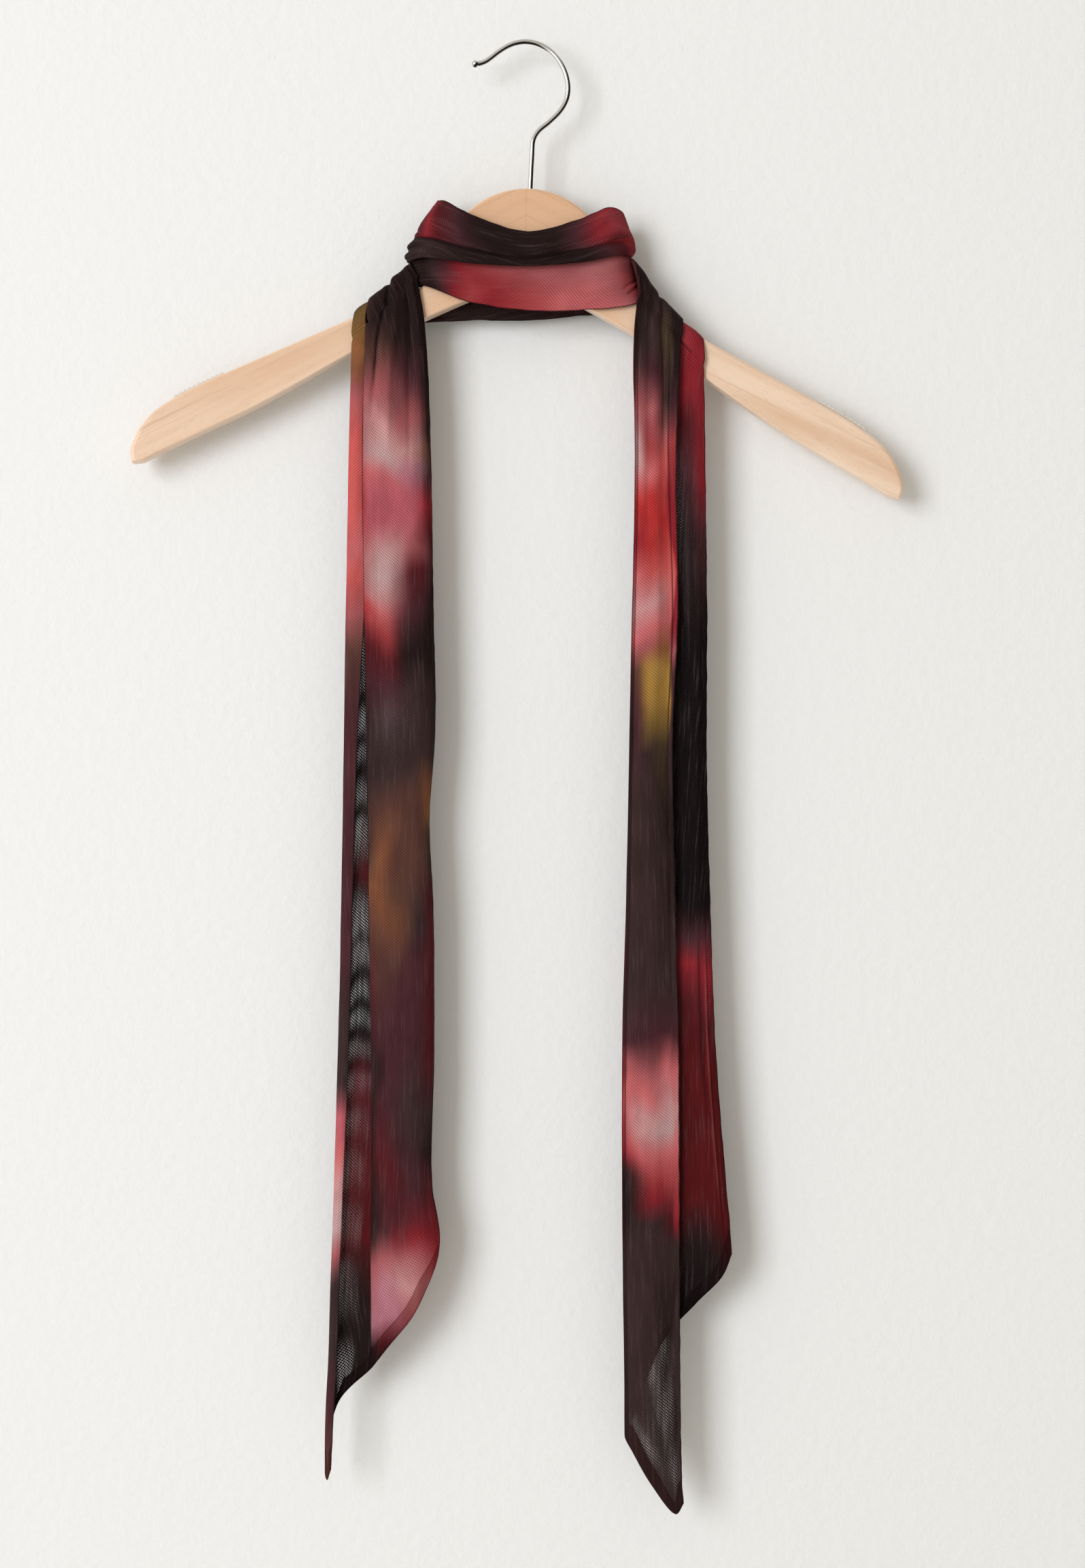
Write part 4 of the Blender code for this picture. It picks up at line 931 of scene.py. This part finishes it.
def wood_material():
    """Light beech, two arms joined in the middle: long soft grain, small dark flecks, a painted highlight on
    the rounded edges and the lower face, and a thin satin varnish."""
    made = Nodes("Beech")
    x, y, z = made.parts(made.place())
    from_joint = made.math("ABSOLUTE", x)
    mirrored = made.put("ShaderNodeCombineXYZ", X=from_joint, Y=y, Z=z).outputs[0]
    turned = {"Vector": mirrored, "Rotation": (0, -ARM_SLOPE, 0)}
    along_grain = made.put("ShaderNodeMapping", {"vector_type": "POINT"}, **turned).outputs[0]
    broad = made.noise(along_grain, (7, 40, 60), 4.0, 0.55)
    rings = made.noise(along_grain, (5, 30, 220), 5.0, 0.6)
    lines = made.noise(along_grain, (4, 30, 380), 2.0)
    flecks = made.noise(along_grain, (260, 900, 1500), 1.0, 0.4)
    facing = made.math("ABSOLUTE", made.parts(made.normal())[1])
    color = made.layered(
        rgba(235, 208, 181),
        (made.ramp(broad, 0.35, 0.65), (220, 184, 152)),
        (made.ramp(x, -0.15, 0.15, 0.35, 0.0), (208, 164, 126)),
        (made.ramp(from_joint, 0.03, 0.08, 1.0, 0.0), (216, 172, 133)),
        (made.ramp(rings, 0.52, 0.72, 0.0, 0.40), (202, 156, 120)),
        (made.ramp(lines, 0.60, 0.70, 0.0, 0.32), (186, 138, 104)),
        (made.ramp(flecks, 0.62, 0.74, 0.0, 0.22), (184, 136, 98)),
        (made.ramp(from_joint, 0.0001, 0.0006, 0.14, 0.0), (150, 104, 72)),
        # painted highlight: the rounded edges and the lower face, turned away from the front, are lightened
        (made.ramp(facing, 0.97, 0.45, 0.0, 0.6), (244, 222, 200)),
    )
    relief = made.math("MULTIPLY_ADD", flecks, -0.4, rings)
    return made.finish(
        Base_Color=color, Roughness=made.ramp(broad, 0.3, 0.7, 0.38, 0.5),
        Coat_Weight=0.2, Coat_Roughness=0.28, Normal=made.bump(relief, 0.0001, 0.35),
    )


def chrome_material():
    """Polished wire, lightly scuffed, with a painted reflection of the room's dark end darkening its colour
    on one side.
    """
    made = Nodes("Chrome wire")
    scuffs = made.noise(made.place(), (60, 60, 60), 3.0)
    side = made.toward(made.normal(), WIRE_PAINTED_REFLECTION_SIDE)
    # painted reflection: the colour darkens on the side that faces the dark end of the room
    dark = made.math("MULTIPLY", made.ramp(side, 0.05, 0.25), made.ramp(side, 0.72, 0.92, 1.0, 0.35))
    color = made.layered(rgba(214, 212, 209), (dark, (44, 41, 40)))
    return made.finish(Base_Color=color, Metallic=1.0, Roughness=made.ramp(scuffs, 0.3, 0.8, 0.12, 0.22))


def grip_material():
    """Clear plastic with a faint haze in it."""
    made = Nodes("Clear grip")
    haze = made.noise(made.place(), (400, 400, 400), 2.0)
    color = made.layered(rgba(242, 236, 226), (haze, (228, 218, 204)))
    roughness = made.ramp(haze, 0.3, 0.7, 0.18, 0.34)
    return made.finish(Base_Color=color, Roughness=roughness, Transmission_Weight=0.30, IOR=1.45)


def leaned(x, y, z):
    """A point of the upright hanger, in mm, as it hangs, in metres."""
    x, z = x * cos(HANGER_LEAN) + z * sin(HANGER_LEAN), z * cos(HANGER_LEAN) - x * sin(HANGER_LEAN)
    return (x * MM, y * MM, z * MM)


def dome_point(sweep):
    """A point of the dome's outline, this far round from its top."""
    return DOME_RADIUS * sin(sweep), DOME_HEIGHT + DOME_RADIUS * cos(sweep)


def upper_edge():
    """The right arm's upper edge, from the dome to the toe, in the upright hanger."""
    return spline([dome_point(DOME_SWEEP), *ARM_UPPER], CURVE_STEPS)


def slab(name, outline, thick):
    """A mesh of an outline in the upright hanger, this thick about the board's middle plane."""
    count = len(outline)
    points = [leaned(STEM_X + x, y, z) for y in (-thick / 2, thick / 2) for x, z in outline]
    sides = [(i, (i + 1) % count, count + (i + 1) % count, count + i) for i in range(count)]
    return new_mesh(name, points, [tuple(range(count))[::-1], tuple(range(count, 2 * count)), *sides])


def build_board(material):
    """The flat board, its upper edges rounded more than its lower ones."""
    dome = [dome_point(DOME_SWEEP * i / DOME_STEPS) for i in range(DOME_STEPS)]
    upper = [*dome, *upper_edge()]
    lower = spline(ARM_LOWER, CURVE_STEPS // 2)
    right = [tuple(point) for point in (*upper, *lower)]
    rounds = [1.0] * len(upper) + [LOWER_ROUND / UPPER_ROUND] * len(lower)
    outline = right + [(-x, z) for x, z in right[1:-1]][::-1]
    rounds = rounds + rounds[1:-1][::-1]
    count = len(outline)
    mesh = slab("board", outline, WOOD_THICK)
    weights = mesh.attributes.new("bevel_weight_edge", "FLOAT", "EDGE")
    for edge in mesh.edges:
        a, b = edge.vertices
        if (a < count) == (b < count):
            weights.data[edge.index].value = min(rounds[a % count], rounds[b % count])
    mesh.shade_smooth()
    obj = dress("board", mesh, material, "hanger_wood")
    rounding = obj.modifiers.new("Rounded edges", "BEVEL")
    with_settings(rounding, width=UPPER_ROUND * MM, segments=7, limit_method="WEIGHT")
    obj.modifiers.new("Even normals", "WEIGHTED_NORMAL")


def build_hook(material):
    """The wire as one curve, whose points swell into the ball at its free end."""
    route = spline([(x, 0.0, z) for x, z in HOOK_ROUTE], CURVE_STEPS)
    start, onward = route[0], (route[1] - route[0]) / np.linalg.norm(route[1] - route[0])
    neck = (BALL_RADIUS**2 - WIRE_RADIUS**2) ** 0.5
    angles = [angle for angle in np.linspace(BALL_START, pi, BALL_STEPS) if -BALL_RADIUS * cos(angle) < neck]
    points = [(start - onward * BALL_RADIUS * cos(angle), BALL_RADIUS * sin(angle)) for angle in angles]
    points.append((start + onward * neck, WIRE_RADIUS))
    points += [(point, WIRE_RADIUS) for point in route if (point - start) @ onward > neck or point[0] > 0]
    curve = bpy.data.curves.new("wire_hook", "CURVE")
    with_settings(curve, dimensions="3D", bevel_depth=MM, bevel_resolution=8, use_fill_caps=True)
    line = curve.splines.new("POLY")
    line.points.add(len(points) - 1)
    for point, (place, radius) in zip(line.points, points):
        point.co = (*leaned(*place), 1)
        point.radius = radius
    line.use_smooth = True
    dress("wire_hook", curve, material, "hook")


def build_grip(name, side, node, material):
    """A clear strip with ribs across it, following the top of one arm."""
    edge_x, edge_z = upper_edge().T
    length = RIB_PITCH * RIB_COUNT
    base = GAP + GRIP_BASE
    profile = [(run * RIB_PITCH / 2, GAP) for run in range(2 * RIB_COUNT + 1)]
    profile.append((length, base))
    for i in reversed(range(RIB_COUNT)):
        middle = RIB_PITCH * (i + 0.5)
        for angle in np.linspace(0, pi, RIB_STEPS):
            rise = base + (RIB_HEIGHT - GRIP_BASE) * sin(angle)
            profile.append((middle + RIB_HALF * cos(angle), rise))
    profile.append((0.0, base))
    ends = np.interp([GRIP_START, GRIP_START + length], edge_x, edge_z)
    slope = np.array([1.0, (ends[1] - ends[0]) / length])
    slope /= np.linalg.norm(slope)
    outline = []
    for run, rise in profile:
        foot = GRIP_START + run * slope[0]
        outline.append((side * (foot - rise * slope[1]), np.interp(foot, edge_x, edge_z) + rise * slope[0]))
    mesh = slab(name, outline, GRIP_WIDTH)
    if side < 0:
        mesh.flip_normals()
    obj = dress(name, mesh, material, node)
    softened = obj.modifiers.new("Soft edges", "BEVEL")
    with_settings(softened, width=GRIP_ROUND * MM, segments=2, limit_method="ANGLE", angle_limit=radians(50))


def scarf_cloths():
    """The cloth of each stretch of the scarf, by its node."""
    upper, lower = band_rows(UPPER_BAND), band_rows(LOWER_BAND)
    lower_fine, upper_fine = spline(lower, BAND_STEPS), spline(upper, BAND_STEPS)
    left_end = tail_end(LEFT_TURN, LEFT_LINES, LEFT_OUTER)
    right_end = tail_end(RIGHT_TURN, RIGHT_LINES, RIGHT_OUTER)
    first = pass_rows(left_end, FIRST_PASS, lower_fine[[-1, -2]])
    second = pass_rows(lower_fine[[0, 1]], SECOND_PASS, upper_fine[[-1, -2]])
    last = pass_rows(upper_fine[[0, 1]], LAST_PASS, right_end)
    return {
        "tail_left": Cloth(tail_rows(LEFT_WIDTHS, LEFT_DEPTHS, LEFT_ENDS, LEFT_TURN), tail=True),
        "tail_right": Cloth(tail_rows(RIGHT_WIDTHS, RIGHT_DEPTHS, RIGHT_ENDS, RIGHT_TURN), tail=True),
        "neck_band_upper": Cloth(upper, BAND_STEPS),
        "neck_band_lower": Cloth(lower, BAND_STEPS),
        "back_pass_first": Cloth(first, PASS_STEPS),
        "back_pass_second": Cloth(second, PASS_STEPS),
        "back_pass_last": Cloth(last, PASS_STEPS),
    }


def build_scarf(material):
    """Every stretch as a shell, with its creases, print and openness."""
    for node, cloth in scarf_cloths().items():
        columns, blots, painted_fold_lines, patches, creases, seams, flat = STRETCHES[node]
        cloth.crease(creases)
        opening = openness(cloth, patches, LEFT_WINDOW if node == "tail_left" else ())
        piece = shell(node, cloth, wash(cloth, columns, blots, painted_fold_lines), opening, seams, material)


def stage_plane(name, corners, material):
    """A flat face that belongs to the studio."""
    new_object(name, new_mesh(name, corners, [(0, 1, 2, 3)]), material)


def build_stage():
    """A pale plaster wall that shows from its front only, and a pale floor."""
    wall = Nodes("Wall")
    plaster = wall.noise(wall.place(), (150, 150, 150), 4.0, 0.6)
    wall.finish(Base_Color=rgba(234, 234, 231), Roughness=0.9, Normal=wall.bump(plaster, 0.0010, 0.5))
    shown = wall.put("ShaderNodeMixShader")
    wall.into(shown, "0", wall.put("ShaderNodeNewGeometry").outputs["Backfacing"])
    wall.into(shown, "1", wall.shader.outputs[0])
    wall.into(shown, "2", wall.put("ShaderNodeBsdfTransparent").outputs[0])
    wall.into(wall.tree.nodes["Material Output"], "Surface", shown.outputs[0])
    floor = Nodes("Floor").finish(Base_Color=rgba(214, 212, 207), Roughness=0.9)
    upright = [(x, WALL_DISTANCE, z) for x, z in ((-4, FLOOR), (4, FLOOR), (4, 3), (-4, 3))]
    stage_plane("wall", upright, wall.owner)
    stage_plane("floor", [(-6, -6, FLOOR), (6, -6, FLOOR), (6, 6, FLOOR), (-6, 6, FLOOR)], floor)


def build_light():
    """A tall window to the left of the camera, in a room that is bright on that side."""
    sky = Nodes("Studio", "worlds", "Background")
    toward = sky.toward(sky.put("ShaderNodeTexCoord").outputs["Generated"], BRIGHT_SIDE)
    shades = {"From_Min": -0.9, "From_Max": 0.9, "To_Min": 0.15, "To_Max": 0.86}
    strength = sky.put("ShaderNodeMapRange", Value=toward, **shades).outputs[0]
    bpy.context.scene.world = sky.finish(Color=rgba(246, 240, 231), Strength=strength)

    light = bpy.data.lights.new("window", "AREA")
    with_settings(light, shape="RECTANGLE", size=2.0, size_y=2.6, energy=142, color=(0.90, 0.927, 1.0))
    place, target = Vector((-2.6, -3.9, 0.25)), Vector((0.01, 0.0, -0.40))
    facing = (target - place).to_track_quat("-Z", "Y").to_euler()
    with_settings(new_object("window", light), location=place, rotation_euler=facing)


def build_camera():
    """A level camera that fits the photograph, pixel for pixel, at the scarf's mean depth."""
    scene = bpy.context.scene
    scene.view_settings.view_transform = "Standard"
    camera = bpy.data.cameras.new("camera")
    camera.sensor_width = 36
    camera.lens = camera.sensor_width * CAMERA_DISTANCE / (PHOTO_HIGH * PIXEL)
    obj = new_object("camera", camera)
    obj.location = (
        (PHOTO_WIDE / 2 - SEAT_PIXEL[0]) * PIXEL * MM,
        (MEAN_DEPTH - CAMERA_DISTANCE) * MM,
        ((SEAT_PIXEL[1] - PHOTO_HIGH / 2) * PIXEL - CAMERA_DROP) * MM,
    )
    obj.rotation_euler = (pi / 2, 0, 0)
    scene.camera = obj


build_board(wood_material())
build_hook(chrome_material())
grips = grip_material()
build_grip("clear_grip_left", -1, "grip_left", grips)
build_grip("clear_grip_right", 1, "grip_right", grips)
build_scarf(mesh_material())
build_stage()
build_light()
build_camera()
